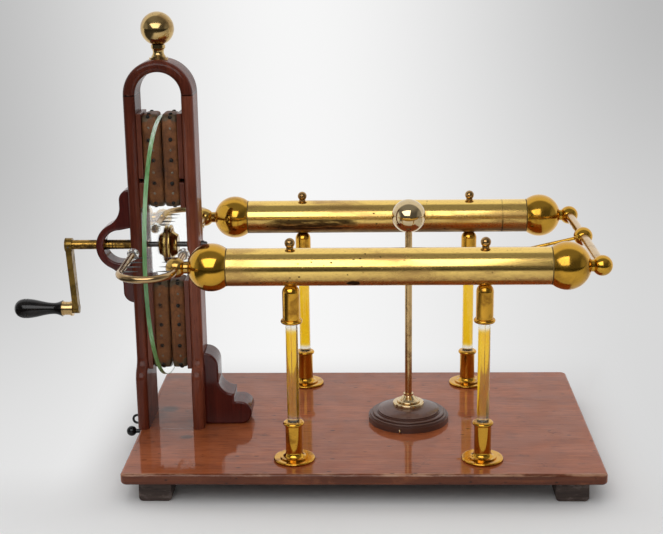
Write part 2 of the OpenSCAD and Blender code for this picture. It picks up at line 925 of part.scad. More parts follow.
// turned base: plain rim, two beads and a low dome
module stand_base() {
  rise = stand_wood_h - stand_dome_z;
  sag = (stand_dome_r * stand_dome_r - stand_ferrule_r * stand_ferrule_r + rise * rise) / (2 * rise);
  dome = sqrt(stand_dome_r * stand_dome_r + (sag - rise) * (sag - rise));
  color("#4a2c20") at_stand() difference() {
    rotate_extrude() {
      square([stand_r, 10]);
      translate([0, 10]) square([stand_r - 1.6, 1.4]);
      square([stand_r - 5, 14]);
      translate([stand_r - 5, 12.2]) circle(r = 2);
      square([stand_r - 9.5, 17.2]);
      translate([stand_r - 9.5, 15.6]) circle(r = 1.8);
      square([stand_dome_r + 2, stand_dome_z - 2.2]);
      square([stand_dome_r, stand_dome_z]);
      intersection() {
        translate([0, stand_dome_z]) square([stand_dome_r, rise]);
        translate([0, stand_dome_z - sqrt(dome * dome - stand_dome_r * stand_dome_r)]) circle(r = dome, $fn = 240);
      }
    }
    translate([0, 0, 8]) cylinder(r = stand_rod_r + fit, h = 60);
    rotate([0, 0, -103]) translate([0, 0, 5]) rod_x(stand_r - 9, stand_r + 2, 1.2 + fit);
    translate([0, 0, stand_wood_h]) cylinder(r = stand_r, h = 20);
  }
}

module stand_ferrule() {
  r = stand_ferrule_r;
  color(brass) at_stand() translate([0, 0, stand_wood_h]) difference() {
    rotate_extrude() {
      square([r, 4]);
      square([r - 3, 7]);
      translate([r - 3, 4]) circle(r = 3);
      square([r - 9, 10]);
      translate([r - 9, 8.4]) circle(r = 2);
      polygon([[0, 9], [r - 10, 9], [r - 14, 12.5], [10.5, 17], [9, 19], [9, stand_ferrule_h], [0, stand_ferrule_h]]);
    }
    translate([0, 0, -1]) cylinder(r = stand_rod_r + fit, h = stand_ferrule_h + 2);
    translate([0, 0, -r]) cylinder(r = 2 * r, h = r);
  }
}

module stand_rod() {
  color(brass) at_stand() translate([0, 0, 8 + fit]) cylinder(r = stand_rod_r, h = stand_ball_h - 8 - fit);
}

module stand_ball() {
  color(brass) at_stand() translate([0, 0, stand_ball_h]) difference() {
    sphere(r = stand_ball_r);
    translate([0, 0, -stand_ball_r - 1]) cylinder(r = stand_rod_r + fit, h = stand_ball_r + 1 + fit);
  }
}

// small wire eye in the rim of the stand
module stand_eye() {
  color(brass) at_stand() rotate([0, 0, -103]) translate([0, 0, 5]) {
    rod_x(stand_r - 9 + fit, stand_r + 1.4, 1.2);
    translate([stand_r + 3.6, 0, 0]) rotate([90, 0, 0]) rotate_extrude() translate([2.7, 0]) circle(r = 1);
  }
}

// glass disc with its centre hole
module glass_plate() {
  color("#9fc9b4", 0.5) at_hub() difference() {
    rod_x(-plate_t / 2, plate_t / 2, plate_r);
    rod_x(-plate_t, plate_t, spigot_r + fit);
  }
}

flange_x = plate_t / 2 + washer_t;

// moulded flange: rounded rim, wide cove and rounded boss
module flange_profile() {
  lip = hub_rim_t / 2;
  edge = 2.5;
  foot = hub_r - 3;
  cove = foot - hub_boss_r + 0.3;
  square([hub_r - lip, hub_rim_t]);
  translate([hub_r - lip, lip]) circle(r = lip);
  square([hub_boss_r - edge, hub_len]);
  translate([hub_boss_r - edge, hub_len - edge]) circle(r = edge);
  difference() {
    square([foot, hub_len - edge]);
    translate([foot, hub_rim_t + cove - 0.2]) circle(r = cove);
    translate([foot - 0.3, hub_rim_t]) square([hub_r, hub_len]);
  }
}

module left_flange() {
  color(brass) at_hub() difference() {
    union() {
      translate([-flange_x, 0, 0]) mirror([1, 0, 0]) lathe_x() flange_profile();
      rod_x(-flange_x - 1, flange_x, spigot_r);
    }
    rod_x(-flange_x - hub_len - 1, flange_x + 1, shaft_r + fit);
  }
}

module right_flange() {
  color(brass) at_hub() difference() {
    translate([flange_x, 0, 0]) lathe_x() flange_profile();
    rod_x(flange_x - 1, flange_x + hub_len + 1, shaft_r + fit);
  }
}

module hub_washers() {
  color("#2a2320") at_hub() for (s = [0, 1]) mirror([s, 0, 0]) difference() {
    rod_x(plate_t / 2, flange_x, hub_r - 3);
    rod_x(0, flange_x + 1, spigot_r + fit);
  }
}

shaft_end = post_out + 11;
collar_x = post_out + move_gap;
collar_r = shaft_r + 1.45;

// iron shaft from the crank boss to its round end beyond the right post
module shaft() {
  color(iron) at_hub() difference() {
    union() {
      rod_x(-crank_x - boss_t / 2, shaft_end - 2, shaft_r);
      translate([shaft_end - 2, 0, 0]) rotate([0, 90, 0]) cylinder(r1 = shaft_r, r2 = shaft_r - 1.6, h = 2);
    }
    pin_hole();
  }
}

module shaft_collar() {
  color(iron) at_hub() difference() {
    rod_x(collar_x, collar_x + 5, collar_r);
    rod_x(collar_x - 1, collar_x + 6, shaft_r + fit);
  }
}

pin_r = 1.6;

module pin_hole() {
  rotate([crank_rest, 0, 0]) translate([-crank_x, 0, 0]) rod_y(-boss_r - 1, boss_r + 1, pin_r + fit);
}

sleeve_end = -post_out - move_gap;

// brass sleeve on the shaft, grooved near the post
module crank_sleeve() {
  groove = 0.6;
  color(brass) at_hub() difference() {
    rod_x(-crank_x - boss_t / 2, sleeve_end, sleeve_r);
    rod_x(-crank_x - boss_t, sleeve_end + 1, shaft_r + fit);
    for (d = [8, 12, 16]) difference() {
      rod_x(sleeve_end - d, sleeve_end - d + 1.2, sleeve_r + 1);
      rod_x(sleeve_end - d - 1, sleeve_end - d + 3, sleeve_r - groove);
    }
    pin_hole();
  }
}

// flat tapered crank with a boss at each end
module crank_arm() {
  arm_t = 10.5;
  color(brass) at_hub() difference() {
    rotate([crank_rest, 0, 0]) translate([-crank_x, 0, 0]) {
      rod_x(-boss_t / 2, boss_t / 2, boss_r);
      translate([0, 0, -crank_len]) rod_x(-end_boss_t / 2, end_boss_t / 2, end_boss_r);
      plank_x(-arm_t / 2, arm_t)
        polygon([[-boss_r + 1.5, 0], [boss_r - 1.5, 0], [end_boss_r - 1, -crank_len], [1 - end_boss_r, -crank_len]]);
    }
    rod_x(-crank_x - boss_t, -crank_x + boss_t, sleeve_r + fit);
    rotate([crank_rest, 0, 0]) translate([-crank_x, 0, -crank_len]) rod_x(-end_boss_t, end_boss_t, spindle_r + fit);
    pin_hole();
  }
}

module crank_pin() {
  color(iron) at_hub() rotate([crank_rest, 0, 0]) translate([-crank_x, 0, 0])
    rod_y(-boss_r + 0.2, boss_r - 0.2, pin_r);
}

module at_handle() {
  at_hub() rotate([crank_rest, 0, 0]) translate([0, 0, -crank_len]) children();
}

spindle_tip = grip_start_x + 16;
spindle_stop = grip_end_x - ferrule_len;

// spindle riveted in the crank, with a collar held behind the ferrule
module handle_spindle() {
  color(iron) at_handle() {
    rod_x(spindle_tip, -crank_x + end_boss_t / 2, spindle_r);
    rod_x(spindle_stop - 4, spindle_stop, spindle_collar_r);
  }
}

grip_peak = 22;
grip_neck = grip_len - 15;
grip_waist = 10.3;
grip_rim = 14.9;

// radius of the grip at a distance from its free end
function grip_at(s) =
  s < grip_peak ? grip_r * sqrt(1 - pow((grip_peak - s) / grip_peak, 2.6)) :
  s < grip_neck ? grip_waist + (grip_r - grip_waist) * (0.5 + 0.5 * cos(180 * (s - grip_peak) / (grip_neck - grip_peak))) :
  grip_waist + (grip_rim - grip_waist) * pow((s - grip_neck) / (grip_len - grip_neck), 1.8);

// turned ebony grip, bored for the spindle and its collar
module grip() {
  n = 44;
  color("#15110f") at_handle() difference() {
    translate([grip_start_x, 0, 0]) lathe_x()
      polygon(concat([for (i = [0 : n]) [grip_at(i * grip_len / n), i * grip_len / n]], [[0, grip_len]]));
    rod_x(spindle_tip - 0.6, spindle_stop + 1, spindle_r + run);
    rod_x(spindle_stop - 4.6, spindle_stop + 1, spindle_collar_r + 0.4);
    for (d = [19, 25]) translate([grip_start_x + d, 0, 0]) difference() {
      rod_x(0, 0.7, grip_r + 2);
      rod_x(-1, 2, grip_at(d + 0.35) - 0.5);
    }
  }
}

// brass ferrule closing the grip round the spindle
module grip_ferrule() {
  color(brass) at_handle() difference() {
    union() {
      rod_x(spindle_stop + 0.6, grip_end_x - 3.6, 12);
      translate([grip_end_x - 4, 0, 0]) rod_x(0, 4, 13.6);
      rod_x(spindle_stop + 0.02, spindle_stop + 3, 13);
    }
    rod_x(spindle_stop - 1, grip_end_x + 1, spindle_r + run);
    rod_x(spindle_stop - 1, spindle_stop + 0.4, spindle_collar_r + 0.4);
  }
}

base_board();
block_feet();
wood_screws();
left_post();
right_post();
arch();
arch_dowels();
finial_pedestal();
finial_ball();
scroll_bracket();
bow_bracket();
bracket_screws();
bow_bush();
post_bushes();
earth_eye();
earth_knob();
upper_left_board();
upper_right_board();
lower_left_board();
lower_right_board();
upper_left_pad();
upper_right_pad();
lower_left_pad();
lower_right_pad();
pillar_sockets();
pillar_rods();
pillar_caps();
pillar_nuts();
front_conductor();
rear_conductor();
front_end_balls();
rear_end_balls();
tie_screws();
front_fork();
rear_fork();
fork_points();
fork_balls();
fork_knobs();
cross_bar();
cross_bar_balls();
swing_ball();
swing_rod();
stand_base();
stand_ferrule();
stand_rod();
stand_ball();
stand_eye();
glass_plate();
left_flange();
right_flange();
hub_washers();
shaft();
shaft_collar();
crank_sleeve();
crank_arm();
crank_pin();
handle_spindle();
grip();
grip_ferrule();
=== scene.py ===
import math
import random
from contextlib import contextmanager

import bmesh
import bpy
from mathutils import Matrix, Vector, noise
from mathutils.bvhtree import BVHTree


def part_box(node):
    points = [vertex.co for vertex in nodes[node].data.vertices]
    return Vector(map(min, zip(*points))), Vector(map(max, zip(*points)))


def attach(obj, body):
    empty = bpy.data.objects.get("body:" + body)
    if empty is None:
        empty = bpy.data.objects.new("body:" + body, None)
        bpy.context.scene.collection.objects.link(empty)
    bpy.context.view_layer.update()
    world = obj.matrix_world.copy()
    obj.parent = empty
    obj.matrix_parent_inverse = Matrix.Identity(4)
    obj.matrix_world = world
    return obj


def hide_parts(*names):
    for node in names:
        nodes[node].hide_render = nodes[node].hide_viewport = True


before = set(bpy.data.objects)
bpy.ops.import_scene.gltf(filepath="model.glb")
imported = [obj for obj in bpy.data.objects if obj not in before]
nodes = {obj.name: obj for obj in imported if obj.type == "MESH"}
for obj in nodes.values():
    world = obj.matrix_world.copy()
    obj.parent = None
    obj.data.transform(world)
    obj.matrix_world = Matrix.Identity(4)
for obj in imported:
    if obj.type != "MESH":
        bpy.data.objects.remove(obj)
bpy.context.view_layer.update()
scene = bpy.context.scene
scene.view_settings.view_transform = "Standard"
print("frame loaded with", len(nodes), "nodes")


# a dictionary whose values are read by name
class Look(dict):
    __getattr__ = dict.__getitem__


# method of a Wire that adds one Math node
def mathsNode(operation, swapped=False):
    def work(self, other=0.0):
        first, second = (other, self) if swapped else (self, other)
        return self.graph.add("ShaderNodeMath", {0: first, 1: second}, operation=operation)
    return work


# a socket that takes part in plain sums
class Wire:
    def __init__(self, graph, socket):
        self.graph = graph
        self.socket = socket

    __add__ = mathsNode("ADD")
    __radd__ = mathsNode("ADD", True)
    __sub__ = mathsNode("SUBTRACT")
    __rsub__ = mathsNode("SUBTRACT", True)
    __mul__ = mathsNode("MULTIPLY")
    __truediv__ = mathsNode("DIVIDE")
    __pow__ = mathsNode("POWER")
    __abs__ = mathsNode("ABSOLUTE")
    root = mathsNode("SQRT")
    turn = mathsNode("ARCTAN2")
    most = mathsNode("MAXIMUM")


# a node tree, where add() makes any node from its type, its settings and its sockets
class Graph:
    def __init__(self, tree):
        self.tree = tree
        tree.nodes.clear()

    # out names one output, or several in a tuple
    def add(self, kind, sockets=None, out=0, **settings):
        made = self.tree.nodes.new(kind)
        for key, value in settings.items():
            setattr(made, key, value)
        for key, value in (sockets or {}).items():
            self.feed(self.find(made.inputs, key), value)
        if isinstance(out, tuple):
            return [Wire(self, self.find(made.outputs, key)) for key in out]
        return Wire(self, self.find(made.outputs, out))

    def find(self, sockets, key):
        if isinstance(key, int):
            return sockets[key]
        for socket in sockets:
            if socket.identifier == key:
                return socket
        return sockets[key]

    def feed(self, socket, value):
        if isinstance(value, Wire):
            self.tree.links.new(value.socket, socket)
        elif isinstance(value, tuple) and len(value) == 3 and socket.type == "RGBA":
            socket.default_value = (*value, 1.0)
        else:
            socket.default_value = value

    def place(self, scale=(1, 1, 1), shift=(0, 0, 0), turn=(0, 0, 0)):
        here = self.add("ShaderNodeTexCoord", out="Object")
        return self.add("ShaderNodeMapping", {
            "Vector": here, "Scale": scale, "Location": shift, "Rotation": turn})

    def axes(self, where=None):
        return self.add("ShaderNodeSeparateXYZ", {0: where or self.place()}, ("X", "Y", "Z"))

    def noise(self, where, scale, detail=4.0, rough=0.55, bend=0.0):
        return self.add("ShaderNodeTexNoise", {
            "Vector": where, "Scale": scale, "Detail": detail, "Roughness": rough, "Distortion": bend})

    def cells(self, where, scale, feature="F1", space="3D"):
        return self.add("ShaderNodeTexVoronoi", {"Vector": where, "Scale": scale}, "Distance",
                        feature=feature, voronoi_dimensions=space)

    def ease(self, value, low, high, start=0.0, end=1.0):
        return self.add("ShaderNodeMapRange", {
            "Value": value, "From Min": low, "From Max": high, "To Min": start, "To Max": end},
            interpolation_type="SMOOTHSTEP")

    def fall(self, value, low, high, start=1.0):
        return self.ease(value, low, high, start, 0.0)

    def reach(self, across, along):
        return (across * across + along * along).root()

    def ramp(self, value, stops):
        made = self.add("ShaderNodeValToRGB", {"Fac": value})
        elements = made.socket.node.color_ramp.elements
        while len(elements) < len(stops):
            elements.new(0.5)
        for element, (place, tone) in zip(elements, stops):
            element.position = place
            element.color = (*tone, 1.0)
        return made

    def mix(self, share, first, second):
        return self.add("ShaderNodeMix", {
            "Factor_Float": share, "A_Color": first, "B_Color": second}, "Result_Color", data_type="RGBA")

    # lays one colour after another over a tone
    def layers(self, tone, coats):
        for share, colour in coats:
            tone = self.mix(share, tone, colour)
        return tone

    def grey(self, level):
        return self.add("ShaderNodeCombineColor", {0: level, 1: level, 2: level})

    def blend(self, share, first, second):
        return self.add("ShaderNodeMixShader", {0: share, 1: first, 2: second})

    def bump(self, height, strength, depth):
        return self.add("ShaderNodeBump", {"Height": height, "Strength": strength, "Distance": depth})


# sockets of a Principled surface that a look sets by these keys
fixedSockets = {
    "metal": "Metallic", "spec": "Specular IOR Level", "coat": "Coat Weight", "coatRough": "Coat Roughness",
    "coatIndex": "Coat IOR", "through": "Transmission Weight", "index": "IOR"}


# a new material, which skin() ends with a Principled surface
class Finish(Graph):
    def __init__(self, name):
        self.material = bpy.data.materials.new(name)
        self.material.use_nodes = True
        super().__init__(self.material.node_tree)

    def surface(self, look, sockets):
        fixed = {socket: look[key] for key, socket in fixedSockets.items() if key in look}
        return self.add("ShaderNodeBsdfPrincipled", {**fixed, **sockets})

    def close(self, shader):
        self.add("ShaderNodeOutputMaterial", {"Surface": shader}, ())
        return self.material

    def skin(self, look, sockets):
        return self.close(self.surface(look, sockets))


# polished wood: long figure, fine streaks and dark pores along the grain
def mahogany(name, look):
    f = Finish(name)

    def alongGrain(draw):
        return f.place(tuple(draw if along else 1.0 for along in look.grain))

    figure = f.noise(alongGrain(look.figureDraw), look.figure, 5, 0.6, 0.5)
    streaks = f.noise(alongGrain(look.streakDraw), look.streaks, 3, 0.6)
    pores = f.noise(alongGrain(look.poreDraw), look.pores, 2, 0.5)
    poreMask = f.ease(pores, look.poreFrom, look.poreFrom + look.poreSpan)
    share = look.streakShare
    cloud = f.ease(f.noise(f.place(), look.cloud, 3), 0.42, 0.72)
    tone = f.layers(f.ramp(figure * (1.0 - share) + streaks * share, look.tones), [
        (poreMask * look.poreDepth, look.poreTone),
        (cloud * look.smoke, look.smokeTone)])
    if "wear" in look:
        tone = look.wear(f, tone)
    smear = f.noise(f.place(), look.smear, 4)
    return f.skin(look, {
        "Base Color": tone,
        "Roughness": f.ease(smear, 0.3, 0.8, look.rough, look.rough + look.roughSpan),
        "Coat Weight": f.ease(smear, 0.25, 0.7, look.coat, look.coat * look.coatLeft),
        "Normal": f.bump(streaks * 0.3 - poreMask, 0.16, 0.0003)})


# dark line where the arch meets a post
def archSeam(f, tone):
    high = f.axes()[2]
    seam = f.fall(abs(high - archSpring), 0.0002, 0.0009)
    return f.mix(seam, tone, (0.008, 0.003, 0.002))


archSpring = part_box("arch")[0].z
woodLook = Look(
    figureDraw=0.05, streakDraw=0.03, poreDraw=0.045, streakShare=0.38, poreFrom=0.60, poreSpan=0.1,
    cloud=7.0, smear=26.0, roughSpan=0.16, coatLeft=0.86, coatIndex=1.5)
frameLook = Look(
    woodLook, grain=(0, 0, 1), figure=34.0, streaks=260.0, pores=950.0, poreDepth=0.5,
    tones=[(0.22, (0.046, 0.0080, 0.0040)), (0.48, (0.110, 0.021, 0.0096)), (0.72, (0.21, 0.046, 0.020))],
    poreTone=(0.022, 0.006, 0.0036), smoke=0.45, smokeTone=(0.060, 0.0125, 0.007), rough=0.5, spec=0.06,
    coat=0.36, coatRough=0.07, wear=archSeam)
rightLook = Look(
    frameLook, smokeTone=(0.085, 0.022, 0.0125),
    tones=[(0.22, (0.090, 0.022, 0.0115)), (0.48, (0.21, 0.054, 0.027)), (0.72, (0.34, 0.098, 0.048))])
bracketLook = Look(
    frameLook, coat=0.75, coatRough=0.10, smokeTone=(0.042, 0.005, 0.003),
    tones=[(0.22, (0.030, 0.0028, 0.0018)), (0.48, (0.074, 0.0072, 0.0044)), (0.72, (0.13, 0.016, 0.0085))])
boardLook = Look(
    frameLook, coat=0.5, coatRough=0.18,
    tones=[(0.22, (0.09, 0.024, 0.013)), (0.48, (0.17, 0.048, 0.027)), (0.72, (0.26, 0.080, 0.044))])

# smudges and spots of the base top: middle, half width, half depth and tone
baseMarks = [
    (-0.247, 0.047, 0.022, 0.020, (0.055, 0.020, 0.012)),
    (-0.197, -0.09, 0.016, 0.012, (0.06, 0.022, 0.013)),
    (-0.262, -0.094, 0.007, 0.006, (0.20, 0.045, 0.010)),
    (-0.255, -0.191, 0.006, 0.005, (0.20, 0.045, 0.010))]


# worn edges, dents, scratches, smudges and chips of the base board; painted shade darkens its front face,
# its underside and the top around the posts, and the pale worn front arris is partly a painted highlight
def baseWear(f, tone):
    x, y, z = f.axes()
    bottom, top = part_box("base_board")
    front = f.fall(y, bottom.y + 0.0022, bottom.y + 0.006)
    # painted shade: the front face is painted darker than the top
    frontShadeTone = f.ramp(f.noise(f.place((0.05, 1, 1)), 150.0, 4), [
        (0.3, (0.060, 0.013, 0.0052)), (0.55, (0.125, 0.031, 0.0110)), (0.8, (0.22, 0.064, 0.024))])
    # the underside is painted dark: dirt of unfinished wood, and painted shade that deepens the shadow
    # under the base
    undersideDirtAndShade = f.fall(z, bottom.z + 0.0003, bottom.z + 0.0025, 0.88)
    rub = f.noise(f.place((0.22, 1, 1)), 50.0, 6, 0.7)
    # pale band along the front arris: wear, and a painted highlight
    rim = f.fall(abs(z - top.z + 0.0016), 0.0006, 0.0030)
    rim = rim * front.most(f.fall(y, bottom.y + 0.005, bottom.y + 0.008))
    dents = f.fall(f.cells(f.place((1, 1, 2.0)), 48.0), 0.08, 0.17, 0.95)
    scratch = f.noise(f.place((0.16, 1.3, 1.0), turn=(0, 0, 0.05)), 120.0, 3, 0.5, 0.4)
    thin = f.fall(abs(scratch - 0.5), 0.002, 0.018)
    few = f.ease(f.noise(f.place(), 21.0, 2), 0.58, 0.66)
    smudge = f.noise(f.place((0.5, 1, 1)), 21.0, 5, 0.6)
    # painted shade around, between and behind the posts, where the frame shades the top, with smudges of
    # dirt there too
    postShadeAndSmudge = f.fall(x, -0.20, -0.05) * f.ease(y, -0.20, 0.0)
    tone = f.layers(tone, [
        (front * 0.9, frontShadeTone),
        (undersideDirtAndShade, (0.050, 0.038, 0.031)),
        (rim * f.ease(rub, 0.42, 0.60) * 0.8, (0.52, 0.28, 0.17)),
        (dents * front * f.ease(rub, 0.44, 0.54), (0.022, 0.007, 0.004)),
        (thin * few * 0.9, (0.035, 0.011, 0.007)),
        (postShadeAndSmudge * 0.3, (0.13, 0.036, 0.017)),
        (postShadeAndSmudge * f.ease(smudge, 0.50, 0.72) * 0.5, (0.065, 0.023, 0.014))])
    for spotX, spotY, wide, deep, dirt in baseMarks:
        away = f.reach((x - spotX) / wide, (y - spotY) / deep) + smudge * 0.9
        tone = f.mix(f.fall(away, 0.9, 1.5, 0.8), tone, dirt)
    mottle = f.noise(f.place((0.6, 1, 1)), 34.0, 5, 0.65)
    chips = f.fall(f.cells(f.place((0.32, 1, 1)), 36.0, space="2D"), 0.025, 0.07, 0.95)
    return f.layers(tone, [
        (f.ease(mottle, 0.52, 0.74) * 0.42, (0.16, 0.040, 0.015)),
        (f.fall(mottle, 0.28, 0.46, 0.22), (0.52, 0.17, 0.066)),
        (chips * f.ease(rub, 0.50, 0.56), (0.030, 0.010, 0.006))])


baseLook = Look(
    woodLook, grain=(1, 0, 0), figure=24.0, streaks=400.0, streakShare=0.5, pores=620.0, poreFrom=0.55,
    poreDepth=0.6,
    tones=[(0.28, (0.22, 0.052, 0.0165)), (0.5, (0.37, 0.095, 0.030)), (0.70, (0.50, 0.142, 0.048))],
    poreTone=(0.12, 0.033, 0.014), smoke=0.5, smokeTone=(0.25, 0.069, 0.026), rough=0.5, spec=0.05,
    coat=0.6, coatRough=0.06, wear=baseWear)


# pale scuffs of the feet
def footWear(f, tone):
    rub = f.noise(f.place((0.4, 1, 1)), 70.0, 6, 0.7)
    return f.mix(f.ease(rub, 0.50, 0.68) * 0.85, tone, (0.20, 0.155, 0.135))


footLook = Look(
    woodLook, grain=(1, 0, 0), figure=70.0, streaks=420.0, pores=800.0, poreDepth=0.7,
    tones=[(0.2, (0.024, 0.017, 0.014)), (0.5, (0.066, 0.045, 0.038)), (0.8, (0.14, 0.100, 0.084))],
    poreTone=(0.010, 0.007, 0.006), smoke=0.5, smokeTone=(0.034, 0.023, 0.020), rough=0.7, spec=0.25,
    coat=0.05, coatRough=0.45, wear=footWear)
standWoodLook = Look(
    woodLook, grain=(1, 1, 0), figure=30.0, streaks=200.0, pores=700.0, poreDepth=0.4,
    tones=[(0.2, (0.078, 0.034, 0.025)), (0.5, (0.135, 0.063, 0.046)), (0.8, (0.20, 0.100, 0.074))],
    poreTone=(0.018, 0.008, 0.006), smoke=0.4, smokeTone=(0.050, 0.023, 0.017), rough=0.45, spec=0.2,
    coat=0.5, coatRough=0.14)
dowelLook = Look(
    standWoodLook,
    tones=[(0.2, (0.24, 0.13, 0.06)), (0.5, (0.32, 0.19, 0.09)), (0.8, (0.42, 0.27, 0.14))])


# polished brass with brown tarnish, soot, dark specks and fine scratches; on the conductor tubes the
# tarnish and soot layers also hold painted shade on the undersides
def brass(name, look):
    f = Finish(name)
    here = f.place(look.stretch)
    cloud = f.noise(here, look.cloud, 6, 0.62, 0.6)
    tarnish = f.ease(cloud, look.tarnishFrom, look.tarnishFrom + 0.2) * look.tarnish
    # for the tubes this adds painted shade on their lower half, mixed with tarnish
    if "stain" in look:
        tarnish = tarnish.most(look.stain(f))
    grit = f.ease(f.noise(here, 640.0, 3, 0.6), 0.52, 0.72) * look.grit
    speck = f.fall(f.cells(f.place(look.speckStretch), look.specks), *look.speckSize)
    speck = speck * f.ease(f.noise(here, 23.0, 4), 0.46, 0.58) * look.speckDepth
    # for the rear tube this adds painted shade along its underside to the soot
    if "soot" in look:
        speck = speck.most(look.soot(f))
    tone = f.layers(look.tone, [
        (tarnish, look.tarnishTone), (grit, look.tarnishTone), (speck, look.sootTone)])
    lines = f.noise(f.place(look.brush), 520.0, 2)
    rough = f.ease(cloud, 0.35, 0.75, look.rough, look.rough + look.roughSpread)
    return f.skin(look, {
        "Base Color": tone, "Roughness": rough + tarnish * look.dull + speck * 0.35,
        "Normal": f.bump(lines, look.brushing, 0.0002)})


tubeLow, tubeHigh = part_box("front_conductor")
tubeAxis = (tubeLow.z + tubeHigh.z) / 2
tubeRadius = (tubeHigh.z - tubeLow.z) / 2
ballLow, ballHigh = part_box("front_end_balls")
ballRadius = (ballHigh.z - ballLow.z) / 2
seamReach = ballRadius - math.sqrt(ballRadius ** 2 - tubeRadius ** 2)


# dull brown underside of a conductor tube: patchy tarnish, and painted shade on the lower half that faces
# the dark base
def tubeTarnishAndUnderShade(f):
    x, y, z = f.axes()
    # painted shade: the lower half of the tube is dulled and browned, with patchy tarnish
    low = f.fall(z, tubeAxis - 0.016, tubeAxis + 0.001)
    patch = f.ease(f.noise(f.place((0.3, 1, 1)), 26.0, 5, 0.65), 0.38, 0.70)
    right = f.ease(x, 0.30, 0.40) * f.fall(z, tubeAxis + 0.008, tubeAxis + 0.018, 0.45)
    mottle = f.ease(f.noise(f.place((0.5, 1, 1)), 150.0, 5, 0.7), 0.40, 0.62)
    return (low * (0.20 + patch * 0.45 + mottle * 0.30)).most(right * patch)


tubeMarks = Look(
    smear=(-0.075, 0.112), smearTop=-0.004, smearFoot=0.021, blot=(0.1025, 0.3660),
    blotSize=(0.013, 0.0055), run=0.3745, runSize=0.0022)


# black smear and run on the rear tube, blot on the front one, grime where a ball meets its tube, and the
# underside of the rear tube darkened with streaky soot and painted shade
def tubeSootAndUnderShade(f):
    marks = tubeMarks
    x, y, z = f.axes()
    rear = f.ease(y, -0.01, 0.01)
    left, right = marks.smear
    top = tubeAxis - marks.smearTop
    foot = tubeAxis - marks.smearFoot
    streak = f.noise(f.place((0.10, 1, 1)), 85.0, 6, 0.7)
    torn = f.noise(f.place((0.25, 1, 1)), 48.0, 5, 0.65)
    window = f.ease(x, left - 0.012, left + 0.03)
    window = window * f.fall(x + (torn - 0.5) * 0.12, right - 0.03, right + 0.006)
    window = window * f.ease(torn, 0.28, 0.46)
    window = window * f.ease(z, foot - 0.004, foot + 0.003) * f.fall(z, top - 0.005, top)
    smear = rear * window * f.ease(streak, 0.35, 0.51) * 0.93
    # painted shade with streaks of soot along the underside of the rear tube
    rearUnderShadeAndSoot = rear * f.fall(z, tubeAxis - 0.027, tubeAxis - 0.012, 0.85) * f.ease(streak, 0.25, 0.55)
    ragged = f.noise(f.place(), 190.0, 4)
    across = (x - marks.blot[0]) / marks.blotSize[0]
    upright = (z - marks.blot[1]) / marks.blotSize[1]
    blot = f.fall(f.reach(across, upright) + ragged * 0.8, 1.15, 1.4) * (1.0 - rear)
    run = f.fall(abs(x - marks.run + (ragged - 0.5) * 0.003), marks.runSize * 0.4, marks.runSize)
    run = run * rear * f.ease(z, tubeAxis - 0.024, tubeAxis + 0.012, 0.9, 0.25)
    fromMiddle = abs(x - (ballLow.x + ballHigh.x) / 2)
    seamAt = (ballHigh.x - ballLow.x) / 2 - 2 * ballRadius + seamReach
    seam = f.fall(abs(fromMiddle - seamAt), 0.0003, 0.0016, 0.9)
    return smear.most(rearUnderShadeAndSoot).most(blot).most(run).most(seam)


# distances of the dark rings from the outer end of the crank sleeve
sleeveRings = (0.030, 0.036, 0.042, 0.060)


# dark rings and blotches of the sleeve that the crank turns
def sleeveSoot(f):
    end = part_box("crank_sleeve")[1].x
    x = f.axes()[0]
    soot = f.ease(f.noise(f.place((0.5, 1, 1)), 90.0, 5, 0.65), 0.46, 0.62) * 0.85
    for back in sleeveRings:
        soot = soot.most(f.fall(abs(x - end + back), 0.0006, 0.0011, 0.9))
    return soot


ballLook = Look(
    tone=(0.59, 0.32, 0.039), tarnishTone=(0.25, 0.12, 0.018), sootTone=(0.040, 0.022, 0.010),
    tarnish=0.6, tarnishFrom=0.50, cloud=30.0, stretch=(1, 1, 1), specks=130.0, speckSize=(0.07, 0.13),
    speckStretch=(1, 1, 1), speckDepth=0.8, grit=0.3, metal=1.0, rough=0.12, roughSpread=0.05, dull=0.12,
    brush=(1, 1, 1), brushing=0.02)
# the stain and soot makers of the tubes also paint shade on their undersides
tubeLook = Look(
    ballLook, tone=(0.87, 0.60, 0.17), tarnishTone=(0.37, 0.20, 0.075), tarnish=0.7, tarnishFrom=0.46,
    cloud=17.0, stretch=(0.3, 1, 1), specks=90.0, speckSize=(0.09, 0.16), speckStretch=(0.7, 1, 1),
    speckDepth=1.0, grit=0.5, roughSpread=0.07, dull=0.22, brush=(0.02, 1, 1), brushing=0.035,
    stain=tubeTarnishAndUnderShade, soot=tubeSootAndUnderShade)
finialLook = Look(
    ballLook, tone=(0.53, 0.365, 0.150), tarnishTone=(0.27, 0.16, 0.06), tarnish=0.75, tarnishFrom=0.44)
forkBallLook = Look(ballLook, tone=(0.53, 0.325, 0.080), tarnishTone=(0.25, 0.135, 0.038), tarnish=0.7)
pillarLook = Look(
    ballLook, tone=(0.62, 0.325, 0.038), tarnishTone=(0.26, 0.11, 0.018), tarnish=0.7, tarnishFrom=0.48,
    cloud=42.0, rough=0.11)
rodLook = Look(
    ballLook, tone=(0.56, 0.375, 0.165), tarnishTone=(0.25, 0.15, 0.065), tarnish=0.65, tarnishFrom=0.48,
    cloud=38.0, rough=0.16)
forkLook = Look(rodLook, tone=(0.43, 0.285, 0.135), tarnishTone=(0.19, 0.115, 0.055))
screwLook = Look(
    ballLook, tone=(0.40, 0.235, 0.085), tarnishTone=(0.17, 0.095, 0.035), tarnish=0.7, tarnishFrom=0.46,
    cloud=60.0, rough=0.16)
standLook = Look(
    ballLook, tone=(0.62, 0.475, 0.27), tarnishTone=(0.36, 0.25, 0.13), tarnish=0.4, rough=0.07)
